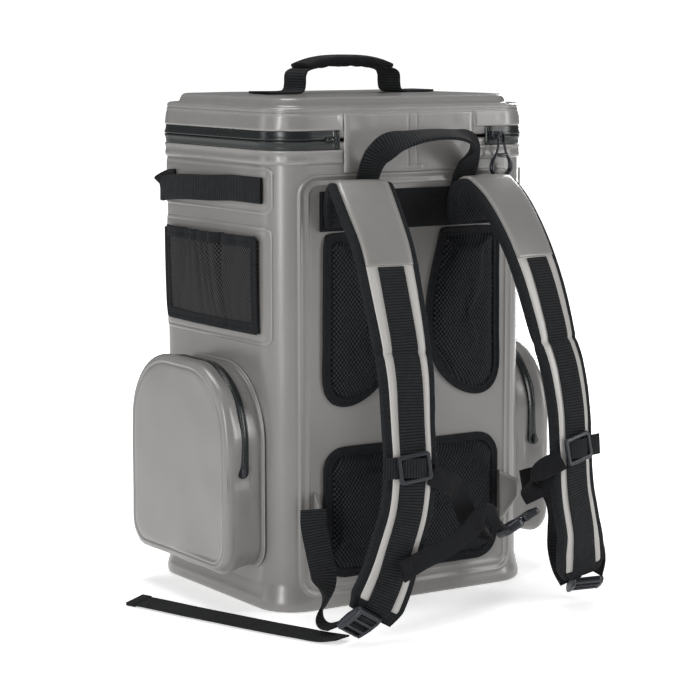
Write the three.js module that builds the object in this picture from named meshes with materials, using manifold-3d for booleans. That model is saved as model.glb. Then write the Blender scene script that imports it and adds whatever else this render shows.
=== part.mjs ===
// A cooler backpack: an insulated welded tub with a zipped lid, two zip pockets, two mesh pockets,
// carrying handles and a padded harness. Millimetres, +Z up. The origin is the centre of the base's
// bottom face, the harness side faces -Y, and the left side faces -X.

import * as THREE from 'three';
import { mergeVertices } from 'three/addons/utils/BufferGeometryUtils.js';
import Module from 'manifold-3d';

const wasm = await Module();
wasm.setup();

// Driving dimensions of the insulated tub
const bodyWidth = 296;
const bodyDepth = 242;
const bodyCorner = 36;
const bodyWall = 20;
const bodyFloor = 22;
const baseFlare = 4;
const baseFlareHeight = 26;
const baseRound = 4;
const splitHeight = 451;

// Driving dimensions of the lid, its zipper and the fabric hinge behind it
const rimHeight = 482;
const rimRound = 4;
const lidRoof = 22;
const lidLedge = 11;
const lidBevel = 8;
const lidRise = 9;
const frameBelow = 22;
const frameAbove = 19;
const frameProud = 1.8;
const frameHalfGap = 76;
const zipperWidth = 19;
const zipperProud = 1.2;
const zipperLeftEnd = 83;
const zipperRightEnd = 93;
const hingeBelow = 32;
const hingeAbove = 25;
const hingeThickness = 1.2;
const pullWidth = 12;
const pullHeight = 9;
const pullProud = 6;
const hookLength = 44;
const hookWidth = 23;
const hookWire = 4;

// Driving dimensions of the webbing and of the handles
const gap = 0.3;
const seam = 1;
const webWidth = 25;
const webThickness = 2;
const yokeBottom = 365;
const yokeWidth = 38;
const yokeLength = 206;
const yokeThickness = 3;
const haulSpan = 112;
const haulCentre = 4;
const haulReach = 42;
const haulRise = 53;
const haulThickness = 3;
const topWebWidth = 40;
const topWebThickness = 2.4;
const topHandleSpan = 112;
const topHandleTab = 38;
const topHandleRise = 28;
const gripWidth = 32;
const gripThickness = 9;
const gripShare = 0.9;
const sideHandleHeight = 404;
const sideHandleLength = 190;
const sideHandleBow = 10;
const sideHandleThickness = 2.6;

// Driving dimensions of the welded patches, the mesh pockets and the zip pockets on both sides
const patchThickness = 0.8;
const handlePatchReach = 103;
const handlePatchBottom = 381;
const handlePatchHeight = 46;
const patchRound = 10;
const meshPatchReach = 102;
const meshPatchBottom = 256;
const meshPatchHeight = 114;
const meshPocketLength = 179;
const meshPocketBottom = 268;
const meshPocketHeight = 90;
const meshPocketBulge = 11;
const meshThickness = 1.6;
const pocketLength = 196;
const pocketBottom = 37;
const pocketHeight = 201;
const pocketTopRound = 74;
const pocketBottomRound = 24;
const pocketReach = 44;
const pocketWall = 2;
const pocketTaper = 5;
const pocketFlange = 3;
const pocketZipperWidth = 13;
const pocketZipperThickness = 1.4;
const pocketZipperLow = 0.47;
const pocketZipperMiddle = 0.56;

// Driving dimensions of the back pads and of the harness
const padShift = 3;
const upperPadThickness = 11;
const upperPadHeight = 172;
const upperPadTopGap = 1;
const upperPadInner = 20;
const upperPadOuter = 103;
const lowerPadThickness = 12;
const lowerPadWidth = 205;
const lowerPadBottom = 29;
const lowerPadHeight = 128;
const lowerPadRound = 22;
const strapWidth = 65;
const strapThickness = 10;
const strapReach = 140;
const strapRise = 42;
const capThickness = 1.4;
const gussetThickness = 2;
const glideWidth = 31;
const glideHeight = 28;
const glideThickness = 4;
const lockWidth = 32;
const lockLength = 31;
const lockThickness = 8;
const sternumWidth = 20;
const buckleLength = 44;
const buckleWidth = 27;
const buckleThickness = 9;

// Places that follow from the sizes above
const backFace = -bodyDepth / 2;
const sideFace = -bodyWidth / 2;
const lidTop = rimHeight + lidRise;
const strapTop = yokeBottom + strapRise;
const cornerSteps = 5;

// Materials, one for each kind of stock that the bag is made of
function stock(color, roughness, metalness = 0) {
  return new THREE.MeshStandardMaterial({ color, roughness, metalness });
}
const coatedFabric = stock(0x8f8d8a, 0.5);
const webbing = stock(0x26272a, 0.85);
const spacerMesh = stock(0x17181a, 0.9);
const netting = stock(0x1d1f21, 0.85);
const zipperRubber = stock(0x33383a, 0.4);
const nylon = stock(0x3a3e46, 0.45);
const plated = stock(0x3a3c40, 0.3, 0.9);

const group = new THREE.Group();

// Adds one named piece
function add(name, geometry, material) {
  const mesh = new THREE.Mesh(geometry, material);
  mesh.name = name;
  group.add(mesh);
  return mesh;
}

// Adds a left piece and its mirror image on the right
function addPair(name, geometry, material) {
  const left = add(`${name}_left`, geometry, material);
  const right = add(`${name}_right`, geometry, material);
  right.scale.x = -1;
  return [left, right];
}

// Turns a list of points and triangles into a closed geometry whose faces point out
function closedGeometry(points, triangles) {
  let volume = 0;
  for (const [a, b, c] of triangles) {
    volume += points[a].dot(new THREE.Vector3().crossVectors(points[b], points[c]));
  }
  const index = triangles.flatMap(([a, b, c]) => (volume < 0 ? [a, c, b] : [a, b, c]));
  const geometry = new THREE.BufferGeometry();
  geometry.setAttribute('position', new THREE.Float32BufferAttribute(points.flatMap((p) => p.toArray()), 3));
  geometry.setIndex(index);
  geometry.computeVertexNormals();
  return geometry;
}

// Skins a body through rings of equal length. Its two ends are closed by a fan, or joined in a loop.
function loft(rings, loop = false) {
  const size = rings[0].length;
  const points = rings.flat();
  const triangles = [];
  const spans = loop ? rings.length : rings.length - 1;
  for (let i = 0; i < spans; i += 1) {
    const here = i * size;
    const next = ((i + 1) % rings.length) * size;
    for (let j = 0; j < size; j += 1) {
      const k = (j + 1) % size;
      triangles.push([here + j, here + k, next + k], [here + j, next + k, next + j]);
    }
  }
  if (!loop) {
    for (const [first, flip] of [[0, true], [(rings.length - 1) * size, false]]) {
      const middle = new THREE.Vector3();
      for (let j = 0; j < size; j += 1) middle.addScaledVector(points[first + j], 1 / size);
      points.push(middle);
      for (let j = 0; j < size; j += 1) {
        const k = (j + 1) % size;
        const edge = flip ? [first + k, first + j] : [first + j, first + k];
        triangles.push([...edge, points.length - 1]);
      }
    }
  }
  return closedGeometry(points, triangles);
}

// Rounds the corners of an outline. Each corner is [x, y, radius].
function filleted(corners, steps = cornerSteps) {
  const points = [];
  corners.forEach(([x, y, radius], i) => {
    const before = corners[(i + corners.length - 1) % corners.length];
    const after = corners[(i + 1) % corners.length];
    const corner = new THREE.Vector2(x, y);
    const toBefore = new THREE.Vector2(before[0] - x, before[1] - y).normalize();
    const toAfter = new THREE.Vector2(after[0] - x, after[1] - y).normalize();
    const half = Math.acos(THREE.MathUtils.clamp(toBefore.dot(toAfter), -1, 1)) / 2;
    const inward = toBefore.clone().add(toAfter).normalize();
    const centre = corner.clone().addScaledVector(inward, radius / Math.sin(half));
    const start = corner.clone().addScaledVector(toBefore, radius / Math.tan(half)).sub(centre);
    const end = corner.clone().addScaledVector(toAfter, radius / Math.tan(half)).sub(centre);
    const sweep = Math.atan2(start.cross(end), start.dot(end));
    for (let s = 0; s <= steps; s += 1) {
      points.push(start.clone().rotateAround(new THREE.Vector2(), (sweep * s) / steps).add(centre));
    }
  });
  return points;
}

function rectangle(left, right, bottom, top, round) {
  return filleted([[left, bottom, round], [right, bottom, round], [right, top, round], [left, top, round]]);
}

// Draws an outline in from its edges by a distance, about the middle of its box
function shrunk(outline, inset) {
  const box = new THREE.Box2().setFromPoints(outline);
  const middle = box.getCenter(new THREE.Vector2());
  const size = box.getSize(new THREE.Vector2());
  const share = new THREE.Vector2(1 - (2 * inset) / size.x, 1 - (2 * inset) / size.y);
  return outline.map((p) => p.clone().sub(middle).multiply(share).add(middle));
}

// A point of the back face, `out` from the wall, and a point of the left side face.
// On the side face `along` grows towards the harness.
function onBack(across, up, out) {
  return new THREE.Vector3(across, backFace - out, up);
}
function onSide(along, up, out) {
  return new THREE.Vector3(sideFace - out, -along, up);
}

// A form that stands on a wall: `rows` of [inset, out] draw one outline in and off the wall
function standing(place, outline, rows) {
  return loft(rows.map(([inset, out]) => shrunk(outline, inset).map((p) => place(p.x, p.y, out))));
}

function flatPatch(place, outline, thickness) {
  return standing(place, outline, [[0, gap], [0, gap + thickness]]);
}

// Booleans
function solidOf(geometry) {
  const bare = geometry.clone();
  bare.deleteAttribute('normal');
  bare.deleteAttribute('uv');
  const merged = mergeVertices(bare, 1e-4);
  return new wasm.Manifold(new wasm.Mesh({
    numProp: 3,
    vertProperties: new Float32Array(merged.attributes.position.array),
    triVerts: new Uint32Array(merged.index.array),
  }));
}
function geometryOf(solid) {
  const { vertProperties, triVerts } = solid.getMesh();
  const geometry = new THREE.BufferGeometry();
  geometry.setAttribute('position', new THREE.BufferAttribute(vertProperties, 3));
  geometry.setIndex(new THREE.BufferAttribute(triVerts, 1));
  geometry.computeVertexNormals();
  return geometry;
}
function block(x0, x1, y0, y1, z0, z1) {
  const geometry = new THREE.BoxGeometry(x1 - x0, y1 - y0, z1 - z0);
  return solidOf(geometry.translate((x0 + x1) / 2, (y0 + y1) / 2, (z0 + z1) / 2));
}

// The tub's outline at a height, grown outwards by a distance
function bodyRing(grow, height) {
  const x = bodyWidth / 2 + grow;
  const y = bodyDepth / 2 + grow;
  const round = Math.max(bodyCorner + grow, 1);
  return rectangle(-x, x, -y, y, round).map((p) => new THREE.Vector3(p.x, p.y, height));
}

// Insulated tub: welded skins over foam, open at the top, flared at the foot.
// Each row is [grow, height].
function makeTub() {
  const mouth = splitHeight - gap / 2;
  const rows = [
    [baseFlare - baseRound, 0],
    [baseFlare - baseRound * 0.3, baseRound * 0.3],
    [baseFlare, baseRound],
    [baseFlare * 0.55, baseFlareHeight * 0.6],
    [0, baseFlareHeight],
    [0, mouth],
    [-bodyWall, mouth],
    [-bodyWall, bodyFloor],
  ];
  return loft(rows.map(([grow, height]) => bodyRing(grow, height)));
}

// Lid: a shallow tray upside down, with a ledge round a raised flat top. Each row is [grow, height].
function makeLid() {
  const mouth = splitHeight + gap / 2;
  const rows = [
    [-bodyWall, lidTop - lidRoof],
    [-bodyWall, mouth],
    [0, mouth],
    [0, rimHeight - rimRound],
    [-rimRound * 0.3, rimHeight - rimRound * 0.3],
    [-rimRound, rimHeight],
    [-lidLedge, rimHeight + 0.1 * lidRise],
    [-lidLedge - 0.35 * lidBevel, rimHeight + 0.7 * lidRise],
    [-lidLedge - lidBevel, lidTop],
  ];
  return loft(rows.map(([grow, height]) => bodyRing(grow, height)));
}

// A band round the body between two heights, left open over part of the back
function band(inner, outer, bottom, top, openLeft, openRight) {
  const rings = [bodyRing(inner, bottom), bodyRing(outer, bottom), bodyRing(outer, top), bodyRing(inner, top)];
  const opening = block(-openLeft, openRight, backFace * 1.2, 0, bottom - 1, top + 1);
  return solidOf(loft(rings, true)).subtract(opening);
}

// Welded frame round the lid's zipper, with the slot that the zipper lies in
function makeZipperFrame() {
  const half = zipperWidth / 2;
  const strip = band(gap, frameProud, splitHeight - frameBelow, splitHeight + frameAbove, frameHalfGap, frameHalfGap);
  const slot = band(-1, frameProud + 1, splitHeight - half, splitHeight + half, zipperLeftEnd, zipperRightEnd);
  return geometryOf(strip.subtract(slot));
}

function makeLidZipper() {
  const half = zipperWidth / 2 - gap;
  const left = zipperLeftEnd + gap;
  const right = zipperRightEnd + gap;
  return geometryOf(band(gap, zipperProud, splitHeight - half, splitHeight + half, left, right));
}

// Fabric hinge: the welded panel that joins lid and tub on the back, between the frame's ends
function makeHinge() {
  const half = frameHalfGap - gap;
  const outline = rectangle(-half, half, splitHeight - hingeBelow, splitHeight + hingeAbove, 2);
  return flatPatch(onBack, outline, hingeThickness);
}

// Slider and pull tab at the right end of the lid's zipper
function makePull() {
  const left = zipperRightEnd + 2;
  const outline = rectangle(left, left + pullWidth, splitHeight - pullHeight / 2, splitHeight + pullHeight / 2, 2);
  const seat = zipperProud + gap;
  return standing(onBack, outline, [[0, seat], [0, seat + pullProud * 0.6], [1.5, seat + pullProud]]);
}

// Snap hook that hangs from the pull: a bent wire with a thick ring at the lower end.
// Each row is [across, down, wire] as shares of the hook's half width, length and wire.
function makeHook() {
  const rows = [
    [0, 0, 0.7],
    [0.28, 0.1, 0.7],
    [0.45, 0.38, 0.7],
    [0.75, 0.6, 0.8],
    [1, 0.78, 1.2],
    [0.72, 0.95, 1.4],
    [0, 1, 1.4],
    [-0.72, 0.95, 1.4],
    [-1, 0.78, 1.2],
    [-0.75, 0.6, 0.8],
    [-0.45, 0.38, 0.7],
    [-0.28, 0.1, 0.7],
  ];
  const out = zipperProud + pullProud + 2 * gap + hookWire;
  const middle = zipperRightEnd + 2 + pullWidth / 2;
  const top = splitHeight + hookWire;
  const sides = 6;
  const points = rows.map(([across, down]) => (
    onBack(middle + (across * hookWidth) / 2, top - down * hookLength, out)));
  const wire = new THREE.CatmullRomCurve3(points, true, 'centripetal');
  const rings = rows.map(([, , thick], i) => {
    const along = wire.getTangent(i / rows.length);
    const outward = new THREE.Vector3(0, -1, 0);
    const across = new THREE.Vector3().crossVectors(along, outward);
    return Array.from({ length: sides }, (_, k) => {
      const angle = (2 * Math.PI * k) / sides;
      const radius = (thick * hookWire) / 2;
      return points[i].clone()
        .addScaledVector(outward, radius * Math.cos(angle))
        .addScaledVector(across, radius * Math.sin(angle));
    });
  });
  return loft(rings, true);
}

// Ribbons: webbing and padded straps swept along a route.
// A route is rows of [x, y, z, sideX, sideY, sideZ, wide, thick]; `side` points along the ribbon's
// width, and the face that `lift` moves along is tangent x side.
function makeRoute(rows, steps, width, thickness) {
  const centres = new THREE.CatmullRomCurve3(rows.map((r) => new THREE.Vector3(r[0], r[1], r[2])), false, 'centripetal');
  const sides = new THREE.CatmullRomCurve3(rows.map((r) => new THREE.Vector3(r[3], r[4], r[5])), false, 'catmullrom', 0.5);
  const sizes = rows.map((r) => new THREE.Vector3(r[6] ?? 1, r[7] ?? 1, 0));
  return Array.from({ length: steps + 1 }, (_, i) => {
    const u = i / steps;
    const along = centres.getTangent(u);
    const side = sides.getPoint(u);
    side.addScaledVector(along, -side.dot(along)).normalize();
    const position = u * (rows.length - 1);
    const low = Math.min(Math.floor(position), rows.length - 2);
    const size = sizes[low].clone().lerp(sizes[low + 1], position - low);
    return {
      centre: centres.getPoint(u),
      side,
      face: new THREE.Vector3().crossVectors(along, side),
      along,
      width: width * size.x,
      thickness: thickness * size.y,
    };
  });
}

// Section outlines as [across, through] shares of the half width and the half thickness
const flatSection = [[1, -1], [-1, -1], [-1, 1], [1, 1]];
const paddedSection = [[-1, -0.25], [-0.84, -1], [0.84, -1], [1, -0.25], [1, 0.25], [0.84, 1], [-0.84, 1], [-1, 0.25]];

function ribbon(frames, section, lift = () => 0) {
  return loft(frames.map((frame) => section.map(([across, through]) => frame.centre.clone()
    .addScaledVector(frame.side, (across * frame.width) / 2)
    .addScaledVector(frame.face, lift(frame) + (through * frame.thickness) / 2))));
}

// Yoke: the wide webbing that the shoulder straps are sewn to
function makeYoke() {
  const half = yokeLength / 2;
  const outline = rectangle(-half, half, yokeBottom, yokeBottom + yokeWidth, 1);
  return flatPatch(onBack, outline, yokeThickness);
}

// Haul loop: doubled webbing that stands up from the yoke and leans away from the back.
// Each row is [across, out, up, sideAcross, sideOut, sideUp], the first three as shares of half the
// span, the reach and the rise. The rows give the left half up to the crest.
const haulHalf = [
  [-1, 0, 0, -1, 0, 0],
  [-1, 0.06, 0.15, -1, 0, 0],
  [-1.01, 0.2, 0.36, -1, 0.05, 0],
  [-0.98, 0.42, 0.62, -0.9, 0.35, 0.15],
  [-0.82, 0.7, 0.84, -0.55, 0.8, 0.35],
  [-0.45, 0.93, 0.96, -0.2, 0.96, 0.3],
  [0, 1, 1, 0, 0.96, 0.27],
];
function makeHaulLoop() {
  const mirrored = haulHalf.slice(0, -1).reverse().map(([a, o, u, sa, so, su]) => [-a, o, u, -sa, so, su]);
  const foot = onBack(haulCentre, yokeBottom + yokeWidth + seam, gap + haulThickness / 2);
  const rows = [...haulHalf, ...mirrored].map(([across, out, up, ...side]) => [
    foot.x + (across * haulSpan) / 2,
    foot.y - out * haulReach,
    foot.z + up * haulRise,
    ...side,
  ]);
  return ribbon(makeRoute(rows, 24, webWidth, haulThickness), flatSection);
}

// Top handle: webbing sewn flat to the lid at both ends, rising to a padded grip.
// Each row is [across, up] as shares of half the span and the rise, and the tabs run on outwards.
const topHandleHalf = [
  [-1.04, 0.02],
  [-1, 0.1],
  [-0.98, 0.3],
  [-0.97, 0.62],
  [-0.92, 0.76],
  [-0.75, 0.86],
  [-0.4, 0.97],
];
function topHandleRoute() {
  const seat = lidTop + gap + topWebThickness / 2;
  const half = topHandleSpan / 2;
  const left = [[-1.04 - topHandleTab / half, 0.01], [-1.08, 0.01], ...topHandleHalf];
  const right = left.map(([across, up]) => [-across, up]).reverse();
  const rows = [...left, [0, 1], ...right].map(([across, up]) => [
    across * half, 0, seat + up * topHandleRise, 0, 1, 0]);
  return makeRoute(rows, 30, topWebWidth, topWebThickness);
}
function makeTopHandle() {
  const route = topHandleRoute();
  add('top_handle_webbing', ribbon(route, flatSection), webbing);
  const reach = (gripShare * topHandleSpan) / 2;
  const over = route.filter(({ centre }) => Math.abs(centre.x) < reach && centre.z > lidTop + topHandleRise * 0.5);
  const fat = ({ centre }) => gripThickness * (1 - 0.6 * (centre.x / reach) ** 4);
  const padded = over.map((frame) => ({ ...frame, width: gripWidth, thickness: fat(frame) }));
  const lift = (frame) => topWebThickness / 2 + gap + frame.thickness / 2;
  add('top_handle_grip', ribbon(padded, paddedSection, lift), webbing);
}

// Welded patch on the left side: a thin sheet that follows the body round its vertical corners
function makePatch(reach, bottom, height) {
  const sheet = band(gap, gap + patchThickness, bottom - 1, bottom + height + 1, 0, 0);
  const outline = rectangle(-reach, reach, bottom, bottom + height, patchRound);
  const cutter = loft([0, -bodyWidth].map((x) => outline.map((p) => new THREE.Vector3(x, p.x, p.y))));
  return geometryOf(sheet.intersect(solidOf(cutter)));
}

// Side handle: webbing sewn flat at its near end and bowed off the wall towards its far end.
// Each row is [along, out, drop] as shares of the handle's half length, its bow and the webbing's width.
const sideHandleRows = [
  [1, 0, 0],
  [0.55, 0.01, 0],
  [0.42, 0.12, 0],
  [0.1, 0.65, 0.06],
  [-0.3, 1, 0.1],
  [-0.7, 0.93, 0.22],
  [-0.93, 0.8, 0.26],
  [-1, 0.5, 0.26],
  [-0.97, 0.12, 0.26],
  [-0.88, 0.02, 0.26],
  [-0.76, 0.02, 0.26],
];
function makeSideHandle() {
  const seat = 3 * gap + patchThickness + sideHandleThickness / 2;
  const rows = sideHandleRows.map(([along, out, drop]) => {
    const height = sideHandleHeight - drop * webWidth;
    const place = onSide((along * sideHandleLength) / 2, height, seat + out * sideHandleBow);
    return [...place.toArray(), 0, 0, 1];
  });
  return ribbon(makeRoute(rows, 30, webWidth, sideHandleThickness), flatSection);
}

// Mesh pocket: a net panel bound on three sides and bowed off the wall, open at the top.
// Each fold is [along, width, depth] as shares of the pocket's length and bulge.
const meshFolds = [
  [0.2, 0.05, 0.3],
  [0.42, 0.04, 0.24],
  [0.6, 0.05, 0.34],
  [0.8, 0.04, 0.22],
];
function makeMeshPocket() {
  const columns = 20;
  const rowCount = 6;
  const seat = 2 * gap + patchThickness;
  const height = (u, v) => {
    const crown = Math.sin(Math.PI * u) ** 0.6 * Math.sin((Math.PI / 2) * v) ** 0.5;
    const folds = meshFolds.reduce((sum, [at, wide, deep]) => sum + deep * Math.exp(-(((u - at) / wide) ** 2)), 0);
    return meshPocketBulge * crown * (1 - folds * v);
  };
  const place = (i, j, layer) => {
    const u = i / columns;
    const v = j / rowCount;
    const out = seat + height(u, v) + layer * meshThickness;
    return onSide((u - 0.5) * meshPocketLength, meshPocketBottom + v * meshPocketHeight, out);
  };
  return sheet(columns, rowCount, place);
}

// A closed sheet: a grid of points in two layers joined round its edge
function sheet(columns, rowCount, place) {
  const points = [];
  const at = (i, j, layer) => layer * (columns + 1) * (rowCount + 1) + j * (columns + 1) + i;
  for (const layer of [0, 1]) {
    for (let j = 0; j <= rowCount; j += 1) {
      for (let i = 0; i <= columns; i += 1) points.push(place(i, j, layer));
    }
  }
  const triangles = [];
  const quad = (a, b, c, d) => triangles.push([a, b, c], [a, c, d]);
  for (let j = 0; j < rowCount; j += 1) {
    for (let i = 0; i < columns; i += 1) {
      quad(at(i, j, 0), at(i, j + 1, 0), at(i + 1, j + 1, 0), at(i + 1, j, 0));
      quad(at(i, j, 1), at(i + 1, j, 1), at(i + 1, j + 1, 1), at(i, j + 1, 1));
    }
    quad(at(0, j, 0), at(0, j, 1), at(0, j + 1, 1), at(0, j + 1, 0));
    quad(at(columns, j, 0), at(columns, j + 1, 0), at(columns, j + 1, 1), at(columns, j, 1));
  }
  for (let i = 0; i < columns; i += 1) {
    quad(at(i, 0, 0), at(i + 1, 0, 0), at(i + 1, 0, 1), at(i, 0, 1));
    quad(at(i, rowCount, 0), at(i, rowCount, 1), at(i + 1, rowCount, 1), at(i + 1, rowCount, 0));
  }
  return closedGeometry(points, triangles);
}

// Zip pocket: a moulded shell with a welded flange, open towards the wall that it is welded to.
// Each row is [inset, out] with `out` as a share of the reach.
function pocketOutline() {
  const half = pocketLength / 2;
  const top = pocketBottom + pocketHeight;
  return filleted([
    [-half, pocketBottom, pocketBottomRound],
    [half, pocketBottom, pocketBottomRound],
    [half, top, pocketTopRound],
    [-half, top, pocketTopRound],
  ], 7);
}
const pocketShell = [
  [pocketTaper, 0.06],
  [0.8 * pocketTaper, 0.4],
  [0, 0.8],
  [1.5, 0.92],
  [6, 0.985],
  [26, 1],
];
function makeZipPocket() {
  const outer = pocketShell.map(([inset, out]) => [inset, gap + out * pocketReach]);
  const inner = outer.map(([inset, out]) => [inset + pocketWall, out - pocketWall]).reverse();
  const rows = [
    ...inner,
    [pocketTaper + pocketWall, gap],
    [pocketTaper - pocketFlange, gap],
    [pocketTaper - pocketFlange, gap + pocketWall / 2],
    ...outer,
  ];
  return standing(onSide, pocketOutline(), rows);
}

// Zipper of the zip pocket: a band on the pocket's edge wall, over the top and down to a rounded end.
// It stops at a share of the pocket's height on both edges.
function makePocketZipper() {
  const outline = pocketOutline();
  const stop = pocketBottom + pocketZipperLow * pocketHeight;
  const upper = outline.filter((p) => p.y > stop);
  const half = pocketLength / 2;
  const run = [new THREE.Vector2(half, stop), ...upper, new THREE.Vector2(-half, stop)];
  const middle = gap + pocketZipperMiddle * pocketReach;
  const rings = run.map((p, i) => {
    const before = run[Math.max(i - 1, 0)];
    const after = run[Math.min(i + 1, run.length - 1)];
    const along = after.clone().sub(before).normalize();
    const outward = new THREE.Vector2(along.y, -along.x);
    return [[0, -1], [1, -1], [1, 1], [0, 1]].map(([off, across]) => {
      const share = pocketZipperMiddle + (across * pocketZipperWidth) / 2 / pocketReach;
      const rise = 1.2 * gap + off * pocketZipperThickness - pocketInset(share);
      const q = p.clone().addScaledVector(outward, rise);
      return onSide(q.x, q.y, middle + (across * pocketZipperWidth) / 2);
    });
  });
  return loft(rings);
}

// How far the pocket's edge wall is drawn in at a share of its reach
function pocketInset(share) {
  const above = pocketShell.findIndex(([, out]) => out > share);
  const [insetLow, low] = pocketShell[above - 1];
  const [insetHigh, high] = pocketShell[above];
  return THREE.MathUtils.mapLinear(share, low, high, insetLow, insetHigh);
}

// Upper back pad: a teardrop that widens upwards. Each corner is [across, up, round] as shares of the
// pad's width and height, and the round in the same share of the width.
const upperPadCorners = [
  [0.3, 1, 0.06],
  [0.1, 0.66, 0.8],
  [-0.01, 0.42, 0.6],
  [0.13, 0.16, 0.7],
  [0.5, 0, 0.35],
  [1, 0, 0.45],
  [1, 1, 0.06],
];
const padProfile = [
  [0, 0],
  [0, 0.42],
  [1.6, 0.62],
  [6.5, 0.62],
  [9, 0.8],
  [19, 1],
];
function makePads() {
  const rowsFor = (thickness) => padProfile.map(([inset, out]) => [inset, gap + out * thickness]);
  const width = upperPadOuter - upperPadInner;
  const top = yokeBottom - upperPadTopGap;
  const outline = filleted(upperPadCorners.map(([across, up, round]) => [
    -(upperPadInner + across * width),
    top - (1 - up) * upperPadHeight,
    round * width * 0.5,
  ]), 3);
  const upper = addPair('pad_upper', standing(onBack, outline, rowsFor(upperPadThickness)), spacerMesh);
  const half = lowerPadWidth / 2;
  const shape = rectangle(-half, half, lowerPadBottom, lowerPadBottom + lowerPadHeight, lowerPadRound);
  const lower = add('pad_lower', standing(onBack, shape, rowsFor(lowerPadThickness)), spacerMesh);
  for (const pad of [...upper, lower]) pad.position.x = padShift;
}

// Shoulder straps. Each row is [across, out, up, wide, thick, turn, roll]: across as a share of half
// the body's width, out of the strap's reach, up of the crest's height, wide and thick of the strap's
// width and thickness. `turn` in degrees turns the outer face outwards and `roll` drops the inner edge.
const strapRows = [
  [0.48, -0.0105, 0.907, 0.9, 0.7, 0, 0],
  [0.48, 0.003, 0.955, 0.96, 0.85, 0, 0],
  [0.483, 0.046, 0.986, 1, 1, 2, 0],
  [0.493, 0.115, 1, 1, 1, 5, 0],
  [0.513, 0.195, 0.984, 1, 1, 8, 0],
  [0.532, 0.301, 0.949, 0.98, 1, 9, 0],
  [0.547, 0.468, 0.878, 0.94, 1, 9, 0],
  [0.56, 0.56, 0.824, 0.925, 0.94, 9, 0],
  [0.572, 0.634, 0.77, 0.91, 1, 9, 0],
  [0.582, 0.735, 0.684, 0.87, 1, 9, 0],
  [0.587, 0.778, 0.646, 0.85, 0.8, 9, 0],
  [0.603, 0.843, 0.587, 0.83, 1, 8.5, 0],
  [0.622, 0.898, 0.491, 0.8, 1, 8, 0],
  [0.625, 0.922, 0.394, 0.785, 1, 8, 0],
  [0.648, 0.918, 0.296, 0.785, 1, 8, 0],
];
// The lower ends differ, because the left strap ends on the ground and the right one hangs
const strapEnds = {
  left: [
    [0.715, 0.89, 0.201, 0.8, 1, 8, -0.06],
    [0.76, 0.868, 0.14, 0.84, 1, 8, -0.14],
    [0.82, 0.855, 0.09, 0.86, 1, 8, -0.24],
    [0.868, 0.84, 0.058, 0.7, 0.8, 8, -0.3],
  ],
  right: [
    [0.737, 0.868, 0.197, 0.8, 1, 9, 0],
    [0.785, 0.82, 0.147, 0.84, 1, 6, 0.04],
    [0.832, 0.77, 0.1, 0.8, 1, 0, 0.08],
    [0.858, 0.735, 0.072, 0.6, 0.8, -4, 0.1],
  ],
};
const strapSteps = 36;
function strapRoute(hand) {
  const sign = hand === 'left' ? -1 : 1;
  const seat = 2 * gap + yokeThickness + strapThickness / 2;
  const rows = [...strapRows, ...strapEnds[hand]].map(([across, out, up, wide, thick, turn, roll]) => {
    const angle = THREE.MathUtils.degToRad(turn);
    return [
      (sign * across * bodyWidth) / 2,
      backFace - seat - out * strapReach,
      up * strapTop,
      Math.cos(angle),
      sign * Math.sin(angle),
      -sign * roll,
      wide,
      thick,
    ];
  });
  return makeRoute(rows, strapSteps, strapWidth, strapThickness);
}

// Cap, webbing and padding of a strap share the frames of one route, so each lies on the one below
const capStart = 5;
const capEnd = 15;
const capShare = 0.76;
const strapWebEnd = 34;
function makeStrap(hand, route) {
  add(`shoulder_strap_${hand}`, ribbon(route, paddedSection), spacerMesh);
  const above = (thickness) => (frame) => frame.lower / 2 + gap + thickness / 2;
  const cap = route.slice(capStart, capEnd + 1).map((frame) => onTop(frame, capShare * frame.width, capThickness));
  add(`strap_cap_${hand}`, ribbon(cap, flatSection, above(capThickness)), coatedFabric);
  const web = route.slice(capEnd, strapWebEnd + 1).map((frame) => onTop(frame, webWidth, webThickness));
  web[0] = { ...web[0], centre: web[0].centre.clone().addScaledVector(web[0].along, seam) };
  add(`strap_webbing_${hand}`, ribbon(web, flatSection, above(webThickness)), webbing);
}

// The frame of a ribbon that lies on another: it keeps the lower one's thickness as `lower`
function onTop(frame, width, thickness) {
  return { ...frame, width, thickness, lower: frame.thickness };
}

// A moulded plate with windows, placed by its centre and two of its directions
function plate(width, length, thickness, round, windows, centre, across, along) {
  const shape = new THREE.Shape(rectangle(-width / 2, width / 2, -length / 2, length / 2, round));
  for (const [left, right, bottom, top] of windows) {
    shape.holes.push(new THREE.Path(rectangle(left, right, bottom, top, 1)));
  }
  const geometry = new THREE.ExtrudeGeometry(shape, { depth: thickness, bevelEnabled: false });
  geometry.translate(0, 0, -thickness / 2);
  const y = along.clone().normalize();
  const x = across.clone().addScaledVector(y, -across.dot(y)).normalize();
  const z = new THREE.Vector3().crossVectors(x, y);
  geometry.applyMatrix4(new THREE.Matrix4().makeBasis(x, y, z).setPosition(centre));
  return geometry;
}

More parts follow.
